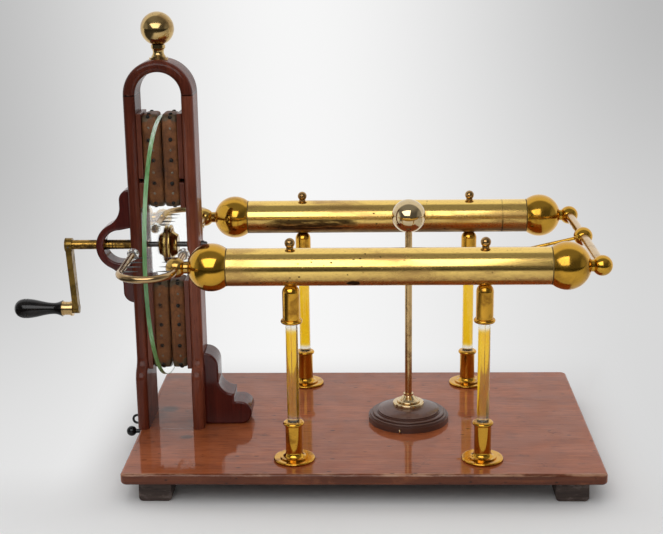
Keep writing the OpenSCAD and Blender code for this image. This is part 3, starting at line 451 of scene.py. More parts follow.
flangeLook = Look(
    ballLook, tone=(0.50, 0.34, 0.11), tarnishTone=(0.16, 0.10, 0.035), tarnish=0.75, tarnishFrom=0.47,
    cloud=70.0, rough=0.16)
sleeveLook = Look(
    ballLook, tone=(0.38, 0.215, 0.045), tarnishTone=(0.15, 0.085, 0.022), tarnish=0.7, tarnishFrom=0.45,
    rough=0.2, soot=sleeveSoot)
crankLook = Look(
    ballLook, tone=(0.215, 0.13, 0.030), tarnishTone=(0.09, 0.056, 0.015), tarnish=0.7, tarnishFrom=0.46,
    cloud=60.0, rough=0.28, roughSpread=0.14, brushing=0.10)


# dark metal with a mottled grey surface
def darkMetal(name, look):
    f = Finish(name)
    cloud = f.noise(f.place(), look.cloud, 5, 0.6)
    return f.skin(look, {
        "Base Color": f.ramp(cloud, look.tones), "Roughness": f.ease(cloud, 0.3, 0.7, *look.rough),
        "Normal": f.bump(cloud, look.grain, 0.0004)})


steelLook = Look(
    cloud=130.0, metal=1.0, rough=(0.25, 0.4), grain=0.1,
    tones=[(0.3, (0.045, 0.043, 0.042)), (0.7, (0.14, 0.135, 0.13))])
ironLook = Look(
    cloud=210.0, metal=0.3, rough=(0.14, 0.3), grain=0.25,
    tones=[(0.3, (0.0025, 0.0025, 0.003)), (0.7, (0.008, 0.008, 0.009))])
bigNailLook = Look(
    cloud=420.0, metal=0.7, rough=(0.28, 0.5), grain=0.2,
    tones=[(0.3, (0.007, 0.0065, 0.006)), (0.7, (0.03, 0.028, 0.024))])
smallNailLook = Look(
    cloud=420.0, metal=0.8, rough=(0.3, 0.5), grain=0.2,
    tones=[(0.3, (0.12, 0.105, 0.08)), (0.7, (0.30, 0.27, 0.21))])

ebonyLook = Look(
    tones=[(0.4, (0.0035, 0.003, 0.003)), (0.75, (0.014, 0.010, 0.008))], lines=300.0, rough=(0.12, 0.2),
    spec=0.15, coat=0.36, coatRough=0.04)


# black ebony, nearly even, with faint brown lines under a hard polish
def ebony(name, look):
    f = Finish(name)
    lines = f.noise(f.place((0.06, 1, 1)), look.lines, 4)
    return f.skin(look, {
        "Base Color": f.ramp(lines, look.tones), "Roughness": f.ease(lines, 0.3, 0.7, *look.rough),
        "Normal": f.bump(lines, 0.04, 0.0002)})


plateLook = Look(tone=(0.965, 0.985, 0.975), rough=(0.0, 0.045), through=1.0, index=1.46)
# the palest rim tone serves the painted highlight on the upper rim
rimLook = Look(
    reach=(0.0011, 0.0006), pale=0.17, rough=(0.22, 0.42), coat=0.5, coatRough=0.15,
    tones=[(0.36, (0.050, 0.165, 0.042)), (0.50, (0.125, 0.32, 0.100)), (0.60, (0.23, 0.45, 0.20)),
           (0.72, (0.70, 0.80, 0.70))])


# window glass of the plate, its ground rim shows green, with a painted highlight that makes the upper part
# of the rim paler
def plateGlass(name, look):
    f = Finish(name)
    low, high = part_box("glass_plate")
    x, y, z = f.axes(f.place(shift=tuple(-(low + high) / 2)))
    edge = (high.z - low.z) / 2
    rim = f.ease(f.reach(y, z), *(edge - inset for inset in rimLook.reach))
    dust = f.noise(f.place(), 60.0, 6)
    clear = f.surface(look, {
        "Base Color": look.tone, "Roughness": f.ease(dust, 0.4, 0.8, *look.rough)})
    around = z.turn(y)
    streak = f.noise(f.add("ShaderNodeCombineXYZ", {0: x, 1: around * 0.012, 2: 0.0}), 900.0, 4, 0.6)
    broad = f.noise(f.add("ShaderNodeCombineXYZ", {0: x * 4.0, 1: around * 0.23, 2: 0.0}), 11.0, 4)
    # painted highlight: the upper part of the rim is pushed towards the palest tones
    pale = f.ease(z, edge * 0.66, edge * 0.95, 0.0, rimLook.pale)
    green = f.surface(rimLook, {
        "Base Color": f.ramp(streak * 0.45 + broad * 0.55 + pale, rimLook.tones),
        "Roughness": f.ease(streak, 0.3, 0.7, *rimLook.rough), "Normal": f.bump(streak, 0.2, 0.0003)})
    return f.close(f.blend(rim, clear, green))


amberLook = Look(
    tones=[(0.3, (0.78, 0.42, 0.006)), (0.6, (0.88, 0.55, 0.016)), (0.8, (0.93, 0.66, 0.06))],
    bare=(0.86, 0.85, 0.78), rough=(0.07, 0.20), through=0.92, index=1.47, coat=0.3, coatRough=0.05)


# glass rods stained yellow within, clear again near both ends
def amberGlass(name, look):
    f = Finish(name)
    z = f.axes()[2]
    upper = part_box("pillar_caps")[0].z
    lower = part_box("pillar_sockets")[1].z
    blotch = f.noise(f.place((1, 1, 0.3)), 75.0, 6, 0.7)
    bare = f.ease(z + blotch * 0.012, upper - 0.012, upper - 0.001)
    bare = bare.most(f.fall(z - blotch * 0.008, lower + 0.001, lower + 0.010))
    return f.skin(look, {
        "Base Color": f.mix(bare, f.ramp(blotch, look.tones), look.bare),
        "Roughness": f.ease(blotch, 0.35, 0.75, *look.rough)})


knobLook = Look(
    tones=[(0.3, (0.80, 0.82, 0.80)), (0.7, (0.95, 0.96, 0.95))], rough=(0.02, 0.16), through=0.92,
    index=1.47)


# clear end knobs of the forks
def clearGlass(name, look):
    f = Finish(name)
    haze = f.noise(f.place(), 160.0, 4)
    return f.skin(look, {
        "Base Color": f.ramp(haze, look.tones), "Roughness": f.ease(haze, 0.4, 0.8, *look.rough)})


leatherLook = Look(
    tones=[(0.28, (0.068, 0.024, 0.009)), (0.5, (0.190, 0.069, 0.022)), (0.7, (0.37, 0.148, 0.051))],
    creaseTone=(0.04, 0.017, 0.008), stain=0.75,
    stainTones=[(0.3, (0.046, 0.044, 0.027)), (0.7, (0.130, 0.115, 0.071))], rough=(0.46, 0.64), spec=0.3)


# worn brown leather with pebble grain, darker in the creases with dirt and painted shade, its stain
# attribute turns it green
def leather(name, look):
    f = Finish(name)
    here = f.place()
    grain = f.cells(here, 620.0)
    crease = f.cells(f.place((1, 1, 0.45)), 95.0, "DISTANCE_TO_EDGE")
    cloud = f.noise(here, 26.0, 5, 0.6)
    fine = f.noise(here, 190.0, 4)
    stain = f.add("ShaderNodeAttribute", out="Fac", attribute_name="stain")
    patchy = f.noise(here, 60.0, 4, 0.6)
    green = f.ease(stain + (patchy - 0.5) * 1.5, 0.42, 0.66)
    tone = f.layers(f.ramp(cloud * 0.75 + fine * 0.25, look.tones), [
        # creases painted darker: dirt, and painted shade
        (f.fall(crease, 0.0, 0.05, 0.4), look.creaseTone),
        (green * look.stain, f.ramp(fine, look.stainTones))])
    return f.skin(look, {
        "Base Color": tone, "Roughness": f.ease(cloud, 0.3, 0.7, *look.rough),
        "Normal": f.bump(grain * 0.6 + fine * 0.5 + f.ease(crease, 0.0, 0.06) * 0.5, 0.35, 0.0006)})


cushions = ("upper_left", "upper_right", "lower_left", "lower_right")
boards = [cushion + "_board" for cushion in cushions]
pads = [cushion + "_pad" for cushion in cushions]

# finishes of each maker: name, look and the nodes that wear it
wardrobe = {
    mahogany: {
        "polishedMahogany": (frameLook, "left_post arch"),
        "paleRightMahogany": (rightLook, "right_post"),
        "bracketMahogany": (bracketLook, "scroll_bracket bow_bracket"),
        "cushionBoardWood": (boardLook, " ".join(boards)),
        "wornBaseMahogany": (baseLook, "base_board"),
        "roughFootWood": (footLook, "block_feet"),
        "turnedStandWood": (standWoodLook, "stand_base"),
        "plainDowelWood": (dowelLook, "arch_dowels")},
    brass: {
        "tarnishedTubeBrass": (tubeLook, "front_conductor rear_conductor"),
        "goldenBallBrass": (ballLook, "front_end_balls rear_end_balls cross_bar_balls swing_ball "
                                      "swing_rod"),
        "pillarBrass": (pillarLook, "pillar_sockets pillar_caps pillar_nuts bow_bush post_bushes"),
        "paleRodBronze": (rodLook, "cross_bar stand_rod grip_ferrule"),
        "paleStandBrass": (standLook, "stand_ball stand_ferrule stand_eye"),
        "dullCrankBrass": (crankLook, "crank_arm"),
        "paleFinialBrass": (finialLook, "finial_ball finial_pedestal"),
        "darkFlangeBronze": (flangeLook, "left_flange right_flange"),
        "stainedSleeveBronze": (sleeveLook, "crank_sleeve"),
        "brownScrewBronze": (screwLook, "tie_screws"),
        "brownForkBronze": (forkLook, "front_fork rear_fork"),
        "brownForkBallBrass": (forkBallLook, "fork_balls")},
    darkMetal: {
        "darkShaftSteel": (steelLook, "wood_screws bracket_screws shaft shaft_collar crank_pin "
                                      "handle_spindle fork_points"),
        "blackenedIron": (ironLook, "earth_eye earth_knob"),
        "darkNailHeads": (bigNailLook, ""),
        "paleNailHeads": (smallNailLook, "")},
    ebony: {"polishedEbony": (ebonyLook, "grip")},
    plateGlass: {"greenEdgedPlateGlass": (plateLook, "glass_plate")},
    amberGlass: {"yellowStainedGlass": (amberLook, "pillar_rods")},
    clearGlass: {"clearKnobGlass": (knobLook, "fork_knobs")},
    leather: {"brownCushionLeather": (leatherLook, "hub_washers " + " ".join(pads))}}
finishes = {}
for maker, rows in wardrobe.items():
    for name, (look, wearers) in rows.items():
        finishes[name] = maker(name, look)
        for holder in (holder for node in wearers.split() for holder in nodes[node].material_slots):
            holder.material = finishes[name]
print("finishes made:", len(finishes))


# new object in the scene
def bring(name, data):
    made = bpy.data.objects.new(name, data)
    scene.collection.objects.link(made)
    return made


# opens a mesh for changes and writes them back
@contextmanager
def editing(mesh):
    shape = bmesh.new()
    shape.from_mesh(mesh)
    yield shape
    shape.to_mesh(mesh)
    shape.free()


# new object of the part, from a finished mesh
def keepPiece(name, mesh, body, finish=None):
    piece = bring(name, mesh)
    if finish:
        mesh.materials.clear()
        mesh.materials.append(finishes[finish])
    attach(piece, body)
    return piece


# plain mesh of an object with its modifiers worked in
def worked(piece, name):
    bpy.context.view_layer.update()
    mesh = bpy.data.meshes.new_from_object(piece.evaluated_get(bpy.context.evaluated_depsgraph_get()))
    mesh.name = name
    bpy.data.objects.remove(piece)
    return mesh


# points nearer than this are one, in metres
mergeGap = 2e-6


# a mesh whose triangles share their points
def merged(mesh):
    with editing(mesh) as shape:
        bmesh.ops.remove_doubles(shape, verts=shape.verts, dist=mergeGap)
    return mesh


# merged copy of a CAD node's triangles
def mergedCopy(node):
    return merged(nodes[node].data.copy())


# smooth faces whose normals follow the larger faces
def evenShade(rough, name):
    rough.data.shade_smooth()
    even = rough.modifiers.new("even", "WEIGHTED_NORMAL")
    even.weight = 90
    return worked(rough, name)


# finished piece in the place of a CAD node
def standIn(node, rough, finish, body="machine", cutter=None):
    piece = keepPiece("soft_" + node, evenShade(rough, node + "_soft"), body, finish)
    if cutter:
        bpy.data.objects.remove(cutter)
    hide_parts(node)
    print("rounded", node, "with", len(piece.data.polygons), "faces")


# shapes a rough piece with a cutter, and gives the cutter back
def carve(rough, cutter, operation):
    trim = rough.modifiers.new("trim", "BOOLEAN")
    trim.operation = operation
    trim.solver = "EXACT"
    trim.object = cutter
    return cutter


# rounded copy of a wooden or cast piece, since no hand-made arris is sharp
def softEdges(node, look):
    mesh = mergedCopy(node)
    with editing(mesh) as shape:
        flat = math.radians(look.flat)
        bmesh.ops.dissolve_limit(shape, angle_limit=flat, verts=shape.verts, edges=shape.edges)
        weight = shape.edges.layers.float.new("bevel_weight_edge")
        for edge in shape.edges:
            sharp = len(edge.link_faces) == 2 and edge.is_convex and edge.calc_face_angle() > look.angle
            edge[weight] = 1.0 if sharp and edge.calc_length() > look.least else 0.0
    rough = bring(node + "_soft", mesh)
    bevel = rough.modifiers.new("arris", "BEVEL")
    bevel.limit_method = "WEIGHT"
    bevel.width = look.width
    bevel.segments = look.steps
    bevel.use_clamp_overlap = look.clamp
    weld = rough.modifiers.new("weld", "WELD")
    weld.merge_threshold = look.weld
    return rough


boardEdge = Look(
    width=0.0012, steps=3, clamp=True, least=0.0, flat=0.4, angle=0.6, weld=5e-6,
    finish="cushionBoardWood", body="machine", slot="mahogany")
arrises = {
    "block_feet": Look(boardEdge, width=0.0022, clamp=False, least=0.006, finish="roughFootWood",
                       slot="stained_wood"),
    **{node: boardEdge for node in boards},
    "crank_arm": Look(boardEdge, width=0.0009, steps=2, finish="dullCrankBrass", body="rotor",
                      slot="brass")}
for node, look in arrises.items():
    standIn(node, softEdges(node, look), look.finish, look.body)


# outlines of a flat piece, each in order, from the faces of its far side
def sideLoops(node):
    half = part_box(node)[1].y
    step = {}
    lines = []
    with editing(mergedCopy(node)) as shape:
        flat = {f for f in shape.faces if all(abs(v.co.y - half) < 1e-5 for v in f.verts)}
        for corner in (corner for face in shape.faces if face in flat for corner in face.loops):
            if sum(f in flat for f in corner.edge.link_faces) == 1:
                step[corner.vert] = corner.link_loop_next.vert
        while step:
            first, here = step.popitem()
            line = [first.co.copy()]
            while here != first:
                line.append(here.co.copy())
                here = step.pop(here)
            lines.append(line)
    return lines


# flat piece as a filled outline with a round bevel, its back edge let into the post
def roundedPlate(node, look):
    low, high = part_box(node)
    back = high.x if look.back > 0 else low.x
    data = bpy.data.curves.new(node + "_plate", "CURVE")
    data.dimensions = "2D"
    data.fill_mode = "BOTH"
    data.extrude = high.y - look.round
    data.bevel_depth = look.round
    data.bevel_resolution = look.steps
    data.offset = -look.round
    for line in sideLoops(node):
        spline = data.splines.new("POLY")
        spline.points.add(len(line) - 1)
        for point, spot in zip(spline.points, line):
            deeper = look.round * look.back if abs(spot.x - back) < 0.0002 else 0.0
            point.co = (spot.x + deeper, spot.z, 0.0, 1.0)
        spline.use_cyclic_u = True
    mesh = merged(worked(bring(node + "_plate", data), node + "_plate"))
    with editing(mesh) as shape:
        for v in shape.verts:
            v.co = (v.co.x, -v.co.z, v.co.y)
        bmesh.ops.recalc_face_normals(shape, faces=shape.faces)
    return mesh


# straight round plug, as wide as the bush that goes through the piece
def borePlug(look):
    low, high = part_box(look.bush)
    spot = Matrix.Translation((low + high) / 2) @ Matrix.Rotation(math.pi / 2, 4, "Y")
    radius = (high.z - low.z) / 2 + look.play
    mesh = bpy.data.meshes.new("bore")
    with editing(mesh) as shape:
        bmesh.ops.create_cone(shape, cap_ends=True, segments=look.sides, radius1=radius, radius2=radius,
                              depth=look.depth, matrix=spot)
    return bring("bore", mesh)


plates = Look(
    scroll_bracket=Look(round=0.0036, steps=4, back=-1),
    bow_bracket=Look(round=0.0034, steps=4, back=1, bush="bow_bush", play=0.0001,
                    depth=0.03, sides=48))
for node, look in plates.items():
    rough = bring(node + "_soft", roundedPlate(node, look))
    cutter = carve(rough, borePlug(look), "DIFFERENCE") if "bush" in look else None
    standIn(node, rough, "bracketMahogany", cutter=cutter)


# rounded rectangle, point by point
def roundedSection(halfX, halfY, radius, corner):
    points = []
    for sx, sy, start in ((1, 1, 0), (-1, 1, 90), (-1, -1, 180), (1, -1, 270)):
        for i in range(corner + 1):
            a = math.radians(start + 90 * i / corner)
            x = sx * (halfX - radius) + radius * math.cos(a)
            y = sy * (halfY - radius) + radius * math.sin(a)
            points.append((x, y))
    return points


# closed skin over a row of rings
def skinOver(rings, name):
    mesh = bpy.data.meshes.new(name)
    with editing(mesh) as shape:
        rows = [[shape.verts.new(spot) for spot in ring] for ring in rings]
        for lower, upper in zip(rows, rows[1:]):
            for i in range(len(lower)):
                j = (i + 1) % len(lower)
                shape.faces.new((lower[i], lower[j], upper[j], upper[i]))
        shape.faces.new(reversed(rows[0]))
        shape.faces.new(rows[-1])
        bmesh.ops.recalc_face_normals(shape, faces=shape.faces)
    return bring(name, mesh)


postLook = Look(
    round=0.0085, curve=0.0246, middle=0.110, spare=0.00006, beyond=0.01, steps=14, corner=8, turns=48)


# rounded-off column that trims the arrises from a post and its moulding
def arrisCutter(node, look):
    low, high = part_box(node)
    footHalf, shankHalf = high.y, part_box("arch")[1].y
    curve = look.curve
    turn = math.acos(1 - (footHalf - shankHalf) / (2 * curve))
    middle = low.z + look.middle
    rise = curve * math.sin(turn)
    stations = [(low.z - look.beyond, footHalf)]
    for i in range(look.steps + 1):
        a = turn * i / look.steps
        stations.append((middle - rise + curve * math.sin(a), footHalf - curve * (1 - math.cos(a))))
    for i in range(1, look.steps + 1):
        a = turn * (1 - i / look.steps)
        stations.append((middle + rise - curve * math.sin(a), shankHalf + curve * (1 - math.cos(a))))
    stations.append((high.z + look.beyond, shankHalf))
    halfX = (high.x - low.x) / 2 + look.spare
    midX = (low.x + high.x) / 2
    rings = []
    for z, half in stations:
        section = roundedSection(halfX, half + look.spare, look.round, look.corner)
        rings.append([(midX + x, y, z) for x, y in section])
    return skinOver(rings, node + "_cutter")


# half ring of the arch, with the rounded section of the posts
def archRing(look):
    low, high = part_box("arch")
    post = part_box("left_post")
    half = (post[1].x - post[0].x) / 2
    middle = (high.x - low.x) / 2 - half
    midX = (low.x + high.x) / 2
    section = roundedSection(half, high.y, look.round, look.corner)
    rings = []
    for i in range(look.turns + 1):
        a = math.pi * i / look.turns
        out, up = math.cos(a), math.sin(a)
        rings.append([(midX + (middle + u) * out, y, low.z + (middle + u) * up) for u, y in section])
    return skinOver(rings, "arch_soft")


slabLook = Look(edge=0.005, corner=0.012, spare=0.00006, steps=8, points=10)


# slab with worn plan corners and the round edges of the base board
def cornerCutter(look):
    low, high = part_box("base_board")
    middle, half = (low + high) / 2, (high - low) / 2
    edge, spare = look.edge, look.spare
    stations = []
    for i in range(look.steps + 1):
        a = math.pi / 2 * i / look.steps
        stations.append((edge * (1 - math.sin(a)), low.z + edge * (1 - math.cos(a))))
    stations += [(inset, low.z + high.z - z) for inset, z in reversed(stations)]
    rings = []
    for inset, z in stations:
        halfX, halfY = half.x - inset + spare, half.y - inset + spare
        section = roundedSection(halfX, halfY, look.corner - inset, look.points)
        shift = spare * (1 if z > middle.z else -1)
        rings.append([(middle.x + x, middle.y + y, z + shift) for x, y in section])
    return skinOver(rings, "base_cutter")


# copy of a CAD node, cut to what lies inside a cutter
def trimmed(node, cutter, finish):
    rough = bring(node + "_soft", mergedCopy(node))
    standIn(node, rough, finish, cutter=carve(rough, cutter, "INTERSECT"))


trimmed("base_board", cornerCutter(slabLook), "wornBaseMahogany")
standIn("arch", archRing(postLook), "polishedMahogany")
trimmed("left_post", arrisCutter("left_post", postLook), "polishedMahogany")
trimmed("right_post", arrisCutter("right_post", postLook), "paleRightMahogany")

padLook = Look(
    voxel=0.0038, shrink=(0.97, 0.985, 0.99), frames=20, cap=0.0035, held=0.003, gap=0.0003, slack=0.0015,
    pucker=0.0005, puckerDepth=0.016, core=0.02, fill=0.75, full=2.1, corner=0.16, square=1.8,
    squareTop=1.1)
clothLook = Look(
    quality=6, mass=0.2, tension_stiffness=20, compression_stiffness=20, bending_stiffness=1.5,
    vertex_group_mass="held", use_pressure=True, uniform_pressure_force=4.0)


# stuffed leather: the shrunken form is blown up as cloth and held by its back
def stuffedPad(node, low, high, backX, crownX):
    fixed = Vector((backX, (low.y + high.y) / 2, (low.z + high.z) / 2))
    mesh = mergedCopy(node)
    for v in mesh.vertices:
        v.co = [fixed[i] + (v.co[i] - fixed[i]) * padLook.shrink[i] for i in range(3)]
    pad = bring(node + "_cloth", mesh)
    remesh = pad.modifiers.new("skin", "REMESH")
    remesh.mode = "VOXEL"
    remesh.voxel_size = padLook.voxel
    mesh = worked(pad, node + "_skin")
    start = [v.co.copy() for v in mesh.vertices]
    blown = blowUp(mesh, backX)
    for v, first, last in zip(mesh.vertices, start, blown):
        move = last - first
        if move.length > padLook.cap:
            move *= padLook.cap / move.length
        v.co = first + move
    shapeSkin(mesh, low, high, backX, crownX)
    return mesh


# cloth run on a copy, which gives back where the points end
def blowUp(mesh, backX):
    cloth = bring("blown", mesh.copy())
    held = cloth.vertex_groups.new(name="held")
    for v in cloth.data.vertices:
        if abs(v.co.x - backX) < padLook.held:
            held.add([v.index], 1.0, "REPLACE")
    run = cloth.modifiers.new("stuffing", "CLOTH")
    for key, value in clothLook.items():
        setattr(run.settings, key, value)
    run.settings.effector_weights.gravity = 0.0
    run.point_cache.frame_start = 1
    run.point_cache.frame_end = padLook.frames
    for step in range(1, padLook.frames + 1):
        scene.frame_set(step)
    done = cloth.evaluated_get(bpy.context.evaluated_depsgraph_get())
    ends = [v.co.copy() for v in done.data.vertices]
    bpy.data.objects.remove(cloth)
    scene.frame_set(1)
    return ends


def between(value, first, second):
    return min(max(value, min(first, second)), max(first, second))


# keeps the skin between board and plate, with soft waves along its nailed edge
def shapeSkin(mesh, low, high, backX, crownX):
    middle, half = (low + high) / 2, (high - low) / 2
    slack = padLook.slack
    limit = crownX - math.copysign(padLook.gap, crownX - backX)
    for v in mesh.vertices:
        near = 1.0 - min(abs(v.co.x - backX) / padLook.puckerDepth, 1.0)
        wave = noise.noise(v.co * Vector((40, 30, 150))) * padLook.pucker * (0.4 + near)
        out = Vector((0.0, v.co.y - middle.y, v.co.z - middle.z))
        if out.length > padLook.core:
            v.co += out.normalized() * wave
        share = between((v.co.x - backX) / (crownX - backX), 0.0, 1.0)
        v.co.x = backX + (crownX - backX) * (1.0 - (1.0 - share) ** padLook.full)
        spare = 1.0 - min(abs(v.co.z - middle.z) / half.z, 1.0)
        if spare < padLook.corner:
            power = padLook.square if v.co.z < middle.z else padLook.squareTop
            spare = padLook.corner * (spare / padLook.corner) ** power
            v.co.z = middle.z + math.copysign(half.z * (1.0 - spare), v.co.z - middle.z)
        v.co.x = between(v.co.x, backX, limit)
        v.co.y = between(v.co.y, low.y - slack, high.y + slack)
        v.co.z = between(v.co.z, low.z - slack, high.z + slack)


# rows of nails: how many, along which axis, across which axis and from how far they are sought
nailRows = ((9, 2, 1, 0.08), (3, 1, 2, 0.14))
nailLook = Look(
    depth=0.0118, pitch=0.0187, slipDeep=0.0008, slipAlong=0.0015, dimple=0.0011, dimpleReach=0.0075,
    stainReach=0.009)


# where the nails go: rows down both sides, a few across each end
def nailPlaces(mesh, low, high, backX, crownX, seed):
    tree = BVHTree.FromPolygons([v.co for v in mesh.vertices], [p.vertices for p in mesh.polygons])
    middle = (low + high) / 2
    middle.x = backX + math.copysign(nailLook.depth, crownX - backX)
    pick = random.Random(seed)
    found = []
    for count, along, across, away in nailRows:
        for i in range(count):
            for s in (-1, 1):
                spot = middle.copy()
                spot[along] = middle[along] + (i - (count - 1) / 2) * nailLook.pitch
                spot[across] = middle[across] + s * away
                slip = Vector((pick.uniform(-nailLook.slipDeep, nailLook.slipDeep), 0.0, 0.0))
                slip[along] = pick.uniform(-nailLook.slipAlong, nailLook.slipAlong)
                aim = Vector((0.0, 0.0, 0.0))
                aim[across] = -s
                hit = tree.ray_cast(spot + slip, aim)[0]
                if hit:
                    found.append((hit, -aim, i % 2 == 0))
    return found


# leather dips under each nail, and verdigris spreads round it and over the corners
def nailMarks(mesh, places, low, high, seed):
    stain = mesh.attributes.new("stain", "FLOAT", "POINT")
    values = []
    corners = [Vector((x, y, z)) for x in (low.x, high.x) for y in (low.y, high.y) for z in (low.z, high.z)]
    for v in mesh.vertices:
        green = 0.0
        for spot, aim, big in places:
            gap = (v.co - spot).length
            reach = nailLook.dimpleReach * (1.0 if big else 0.6)
            if gap < reach:
                v.co -= aim * nailLook.dimple * (1 - gap / reach) ** 2 * (1.0 if big else 0.5)
            rust = 0.5 + noise.noise(spot * 35 + Vector((0, seed * 5.0, 0)))
            green = max(green, rust * (0.9 if big else 0.6) * max(0.0, 1 - gap / nailLook.stainReach))
        for corner in corners:
            away = (v.co - corner).length
            patch = noise.noise(v.co * 70 + Vector((seed * 7.0, 0, 0))) * 0.010
            green = max(green, 0.95 - between((away + patch - 0.008) / 0.016, 0.0, 0.95))
        values.append(green)
    stain.data.foreach_set("value", values)


headLook = {"Head Radius": 0.0036, "Small Share": 0.6, "Dome": 0.55}
headFinish = {"Dark": "darkNailHeads", "Pale": "paleNailHeads"}


# nail heads set on points, each facing along its point's own direction
def nailTree():
    tree = bpy.data.node_groups.new("cushionNails", "GeometryNodeTree")
    g = Graph(tree)
    ask = tree.interface.new_socket
    ask("Points", in_out="INPUT", socket_type="NodeSocketGeometry")
    ids = {}
    for label in headLook:
        ids[label] = ask(label, in_out="INPUT", socket_type="NodeSocketFloat").identifier
    for label in headFinish:
        ids[label] = ask(label, in_out="INPUT", socket_type="NodeSocketMaterial").identifier
    ask("Nails", in_out="OUTPUT", socket_type="NodeSocketGeometry")
    points, radius, small, dome, dark, pale = g.add("NodeGroupInput", out=("Points", *ids))
    named = "GeometryNodeInputNamedAttribute"
    big = g.add(named, {"Name": "big"}, "Attribute", data_type="FLOAT")
    facing = g.add(named, {"Name": "facing"}, "Attribute", data_type="FLOAT_VECTOR")
    turn = g.add("FunctionNodeAlignRotationToVector", {"Vector": facing}, "Rotation", axis="Z")
    size = radius * (small + big * (1.0 - small))
    scale = g.add("ShaderNodeCombineXYZ", {0: size, 1: size, 2: size * dome})
    head = g.add("GeometryNodeMeshUVSphere", {"Segments": 14, "Rings": 8, "Radius": 1.0}, "Mesh")
    smooth = g.add("GeometryNodeSetShadeSmooth", {"Geometry": head})
    spread = g.add("GeometryNodeInstanceOnPoints", {
        "Points": points, "Instance": smooth, "Rotation": turn, "Scale": scale}, "Instances")
    solid = g.add("GeometryNodeRealizeInstances", {"Geometry": spread})
    heads = g.add("GeometryNodeSetMaterial", {"Geometry": solid, "Material": dark})
    isSmall = g.add("FunctionNodeCompare", {"A": big, "B": 0.5}, "Result",
                    data_type="FLOAT", operation="LESS_THAN")
    heads = g.add("GeometryNodeSetMaterial", {
        "Geometry": heads, "Selection": isSmall, "Material": pale})
    g.add("NodeGroupOutput", {0: heads}, ())
    return tree, ids


def nailsOn(places, name):
    points = bpy.data.meshes.new(name)
    points.from_pydata([p for p, aim, big in places], [], [])
    facing = points.attributes.new("facing", "FLOAT_VECTOR", "POINT")
    facing.data.foreach_set("vector", [c for p, aim, big in places for c in aim])
    size = points.attributes.new("big", "FLOAT", "POINT")
    size.data.foreach_set("value", [1.0 if big else 0.0 for p, aim, big in places])
    holder = bring(name, points)
    maker = holder.modifiers.new("nails", "NODES")
    maker.node_group, ids = nailTree()
    for label, value in headLook.items():
        maker[ids[label]] = value
    for label, finish in headFinish.items():
        maker[ids[label]] = finishes[finish]
    return worked(holder, name)


allPlaces = []
for seed, node in enumerate(pads):
    low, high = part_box(node)
    backX, crownX = (low.x, high.x) if "left" in node else (high.x, low.x)
    skin = stuffedPad(node, low, high, backX, crownX)
    places = nailPlaces(skin, low, high, backX, crownX, seed)
    nailMarks(skin, places, low, high, seed)
    rough = bring(node + "_fine", skin)
    fine = rough.modifiers.new("fine", "SUBSURF")
    fine.levels = 1
    fine.render_levels = 1
    skin = worked(rough, node + "_leather")
    skin.shade_smooth()
    pad = keepPiece("leather_" + node, skin, "machine", "brownCushionLeather")
    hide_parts(node)
    allPlaces += places
    print("cushion", node, "with", len(skin.polygons), "faces and", len(places), "nails")
keepPiece("cushion_nails", nailsOn(allPlaces, "cushion_nails"), "machine")

viewLook = Look(
    focal=1298.05, width=663, sensor=36.0, far=60.0, eye=(0.13905, -2.21507, 0.92288), yaw=2.06,
    pitch=14.779, roll=-0.821)


# camera a little above the object, looking down at its front
def setCamera(look):
    yaw, pitch, roll = (math.radians(look[k]) for k in ("yaw", "pitch", "roll"))
    facing = Matrix.Rotation(yaw, 4, "Z") @ Matrix.Rotation(math.pi / 2 - pitch, 4, "X")
    data = bpy.data.cameras.new("view")
    data.sensor_width = look.sensor
    data.lens = look.focal / look.width * look.sensor
    data.clip_end = look.far
    camera = bring("view", data)
    camera.matrix_world = Matrix.Translation(look.eye) @ facing @ Matrix.Rotation(roll, 4, "Z")
    scene.camera = camera


setCamera(viewLook)

floorLook = Look(
    half=40.0, paper=0.88, behind=0.90, turn=(-0.3, 0.1), room=0.08, table=(-1.9, -1.25),
    tableLeft=(-0.85, -0.40), tableFar=(0.1, 0.4), blend=(0.16, 0.55), centre=0.114, side=(0.405, 0.54),
    sideFrom=(-0.34, -0.08), beyond=(-1.0, -0.55), outer=(0.75, 0.95), fade=(-0.7, -0.3),
    horizon=(17.0, 36.0), bright=0.925, mirror=0.98, middle=-0.062, left=0.28,
    leftDrop=(0.15, 0.45, 0.44, 0.16), right=0.30, rightDrop=(0.02, 0.32, 0.45, 0.24))


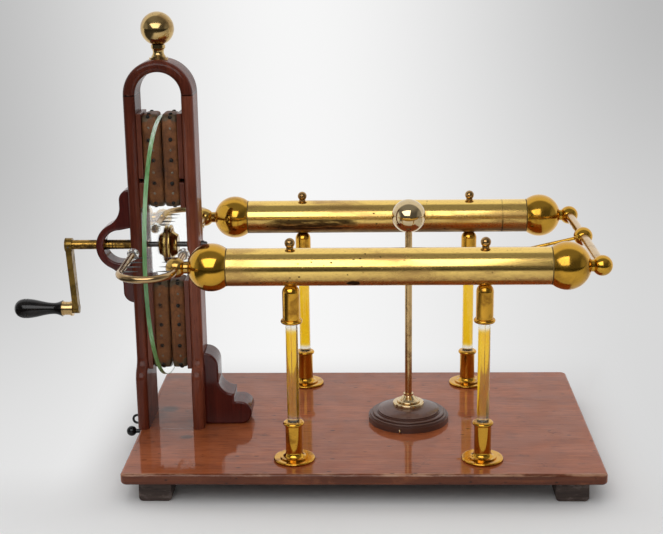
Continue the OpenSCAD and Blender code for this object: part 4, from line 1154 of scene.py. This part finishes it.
# table of white paper in a dark room in front of the object; behind it, beside the base and far in front
# the paper glows for camera rays, a painted pool of light brightest in the middle and falling off to the
# sides, and glossy rays see it at an even level behind the object
def studioFloor(look):
    half = look.half
    mesh = bpy.data.meshes.new("paper_floor")
    corners = [(-half, -half, 0), (half, -half, 0), (half, half, 0), (-half, half, 0)]
    mesh.from_pydata(corners, [], [(0, 1, 2, 3)])
    floor = bring("paper_floor", mesh)
    f = Finish("palePaper")
    x, y, z = f.axes()
    camera, glossy, through = f.add("ShaderNodeLightPath", out=(
        "Is Camera Ray", "Is Glossy Ray", "Is Transmission Ray"))
    seen = camera.most(through)
    eyeX, eyeY, eyeZ = viewLook.eye
    deep = (y - eyeY).most(0.5) ** -1.0
    fan = (x - eyeX) * deep - look.middle
    row = deep * eyeZ
    # painted pool of light: the glow falls off towards the left and the right
    leftDrop = f.ease(0.0 - fan, 0.0, look.left) * f.ease(row, *look.leftDrop)
    rightDrop = f.ease(fan, 0.0, look.right) * f.ease(row, *look.rightDrop)
    near = f.fall(f.reach(x, y), *look.horizon)
    glow = look.bright - (leftDrop + rightDrop) * f.ease(y, *look.fade) * near
    glow = glow * (1.0 - glossy) + glossy * look.mirror
    off = abs(x - look.centre)
    side = (f.ease(off, *look.side) * f.ease(y, *look.sideFrom)).most(f.ease(off, *look.outer))
    table = f.ease(y, *look.table) * f.ease(x, *look.tableLeft).most(f.ease(y, *look.tableFar))
    lit = f.ease(y, *look.turn, look.paper - look.room, look.behind - look.room)
    paper = f.add("ShaderNodeBsdfDiffuse", {"Color": f.grey(table.most(seen) * lit + look.room)})
    shine = f.add("ShaderNodeEmission", {"Color": f.grey(glow)})
    # painted light: the paper glows instead of being lit, behind the object for camera, transmission and
    # glossy rays, and beside the base and far in front for camera and transmission rays
    share = seen.most(glossy) * f.ease(y, *look.blend)
    share = share.most(seen * side.most(f.fall(y, *look.beyond)))
    mesh.materials.append(f.close(f.blend(share, paper, shine)))


studioFloor(floorLook)

lamps = Look(
    softbox=Look(at=(-0.37, -1.75, 1.275), aim=(-0.37, -1.417, 0.018), size=(1.75, 1.76),
                power=13.0, hide=""),
    shine=Look(at=(-0.37, -1.76, 1.28), aim=(-0.37, -1.427, 0.023), size=(1.75, 1.76),
              power=14.0, hide="diffuse"),
    overhead=Look(at=(0.1, -0.4, 2.3), aim=(0.1, -0.4, 0.0), size=(2.0, 1.4),
                 power=10.0, hide="glossy"))


# a softbox over the camera in two shares, and a soft top light
def studioLamp(name, look):
    lamp = bpy.data.lights.new(name, "AREA")
    lamp.shape = "RECTANGLE"
    lamp.size, lamp.size_y = look.size
    lamp.energy = look.power
    holder = bring(name, lamp)
    at, aim = Vector(look.at), Vector(look.aim)
    holder.matrix_world = Matrix.Translation(at) @ (aim - at).to_track_quat("-Z", "Y").to_matrix().to_4x4()
    holder.visible_diffuse = look.hide != "diffuse"
    holder.visible_glossy = look.hide != "glossy"
    holder.visible_transmission = not look.hide


for name, look in lamps.items():
    studioLamp(name, look)

roomLook = Look(front=0.12, back=1.0, sides=0.35, ceiling=0.30, seen=0.925)


# a pale room that is dim towards the front
def studioRoom(look):
    world = bpy.data.worlds.new("room")
    scene.world = world
    world.use_nodes = True
    g = Graph(world.node_tree)
    x, y, z = g.axes(g.add("ShaderNodeTexCoord", out="Generated"))
    room = g.ease(z, 0.40, 0.85, look.front, look.ceiling)
    share = g.ease(y, 0.06, 0.28)
    light = room * (1.0 - share) + share * look.back
    light = light.most(g.ease(abs(x), 0.70, 0.95, 0.0, look.sides))
    camera, through = g.add("ShaderNodeLightPath", out=("Is Camera Ray", "Is Transmission Ray"))
    seen = camera.most(through)
    light = light * (1.0 - seen) + seen * look.seen
    shade = g.add("ShaderNodeBackground", {"Color": g.grey(light), "Strength": 1.0})
    g.add("ShaderNodeOutputWorld", {"Surface": shade}, ())


studioRoom(roomLook)
print("camera, floor and light are set")
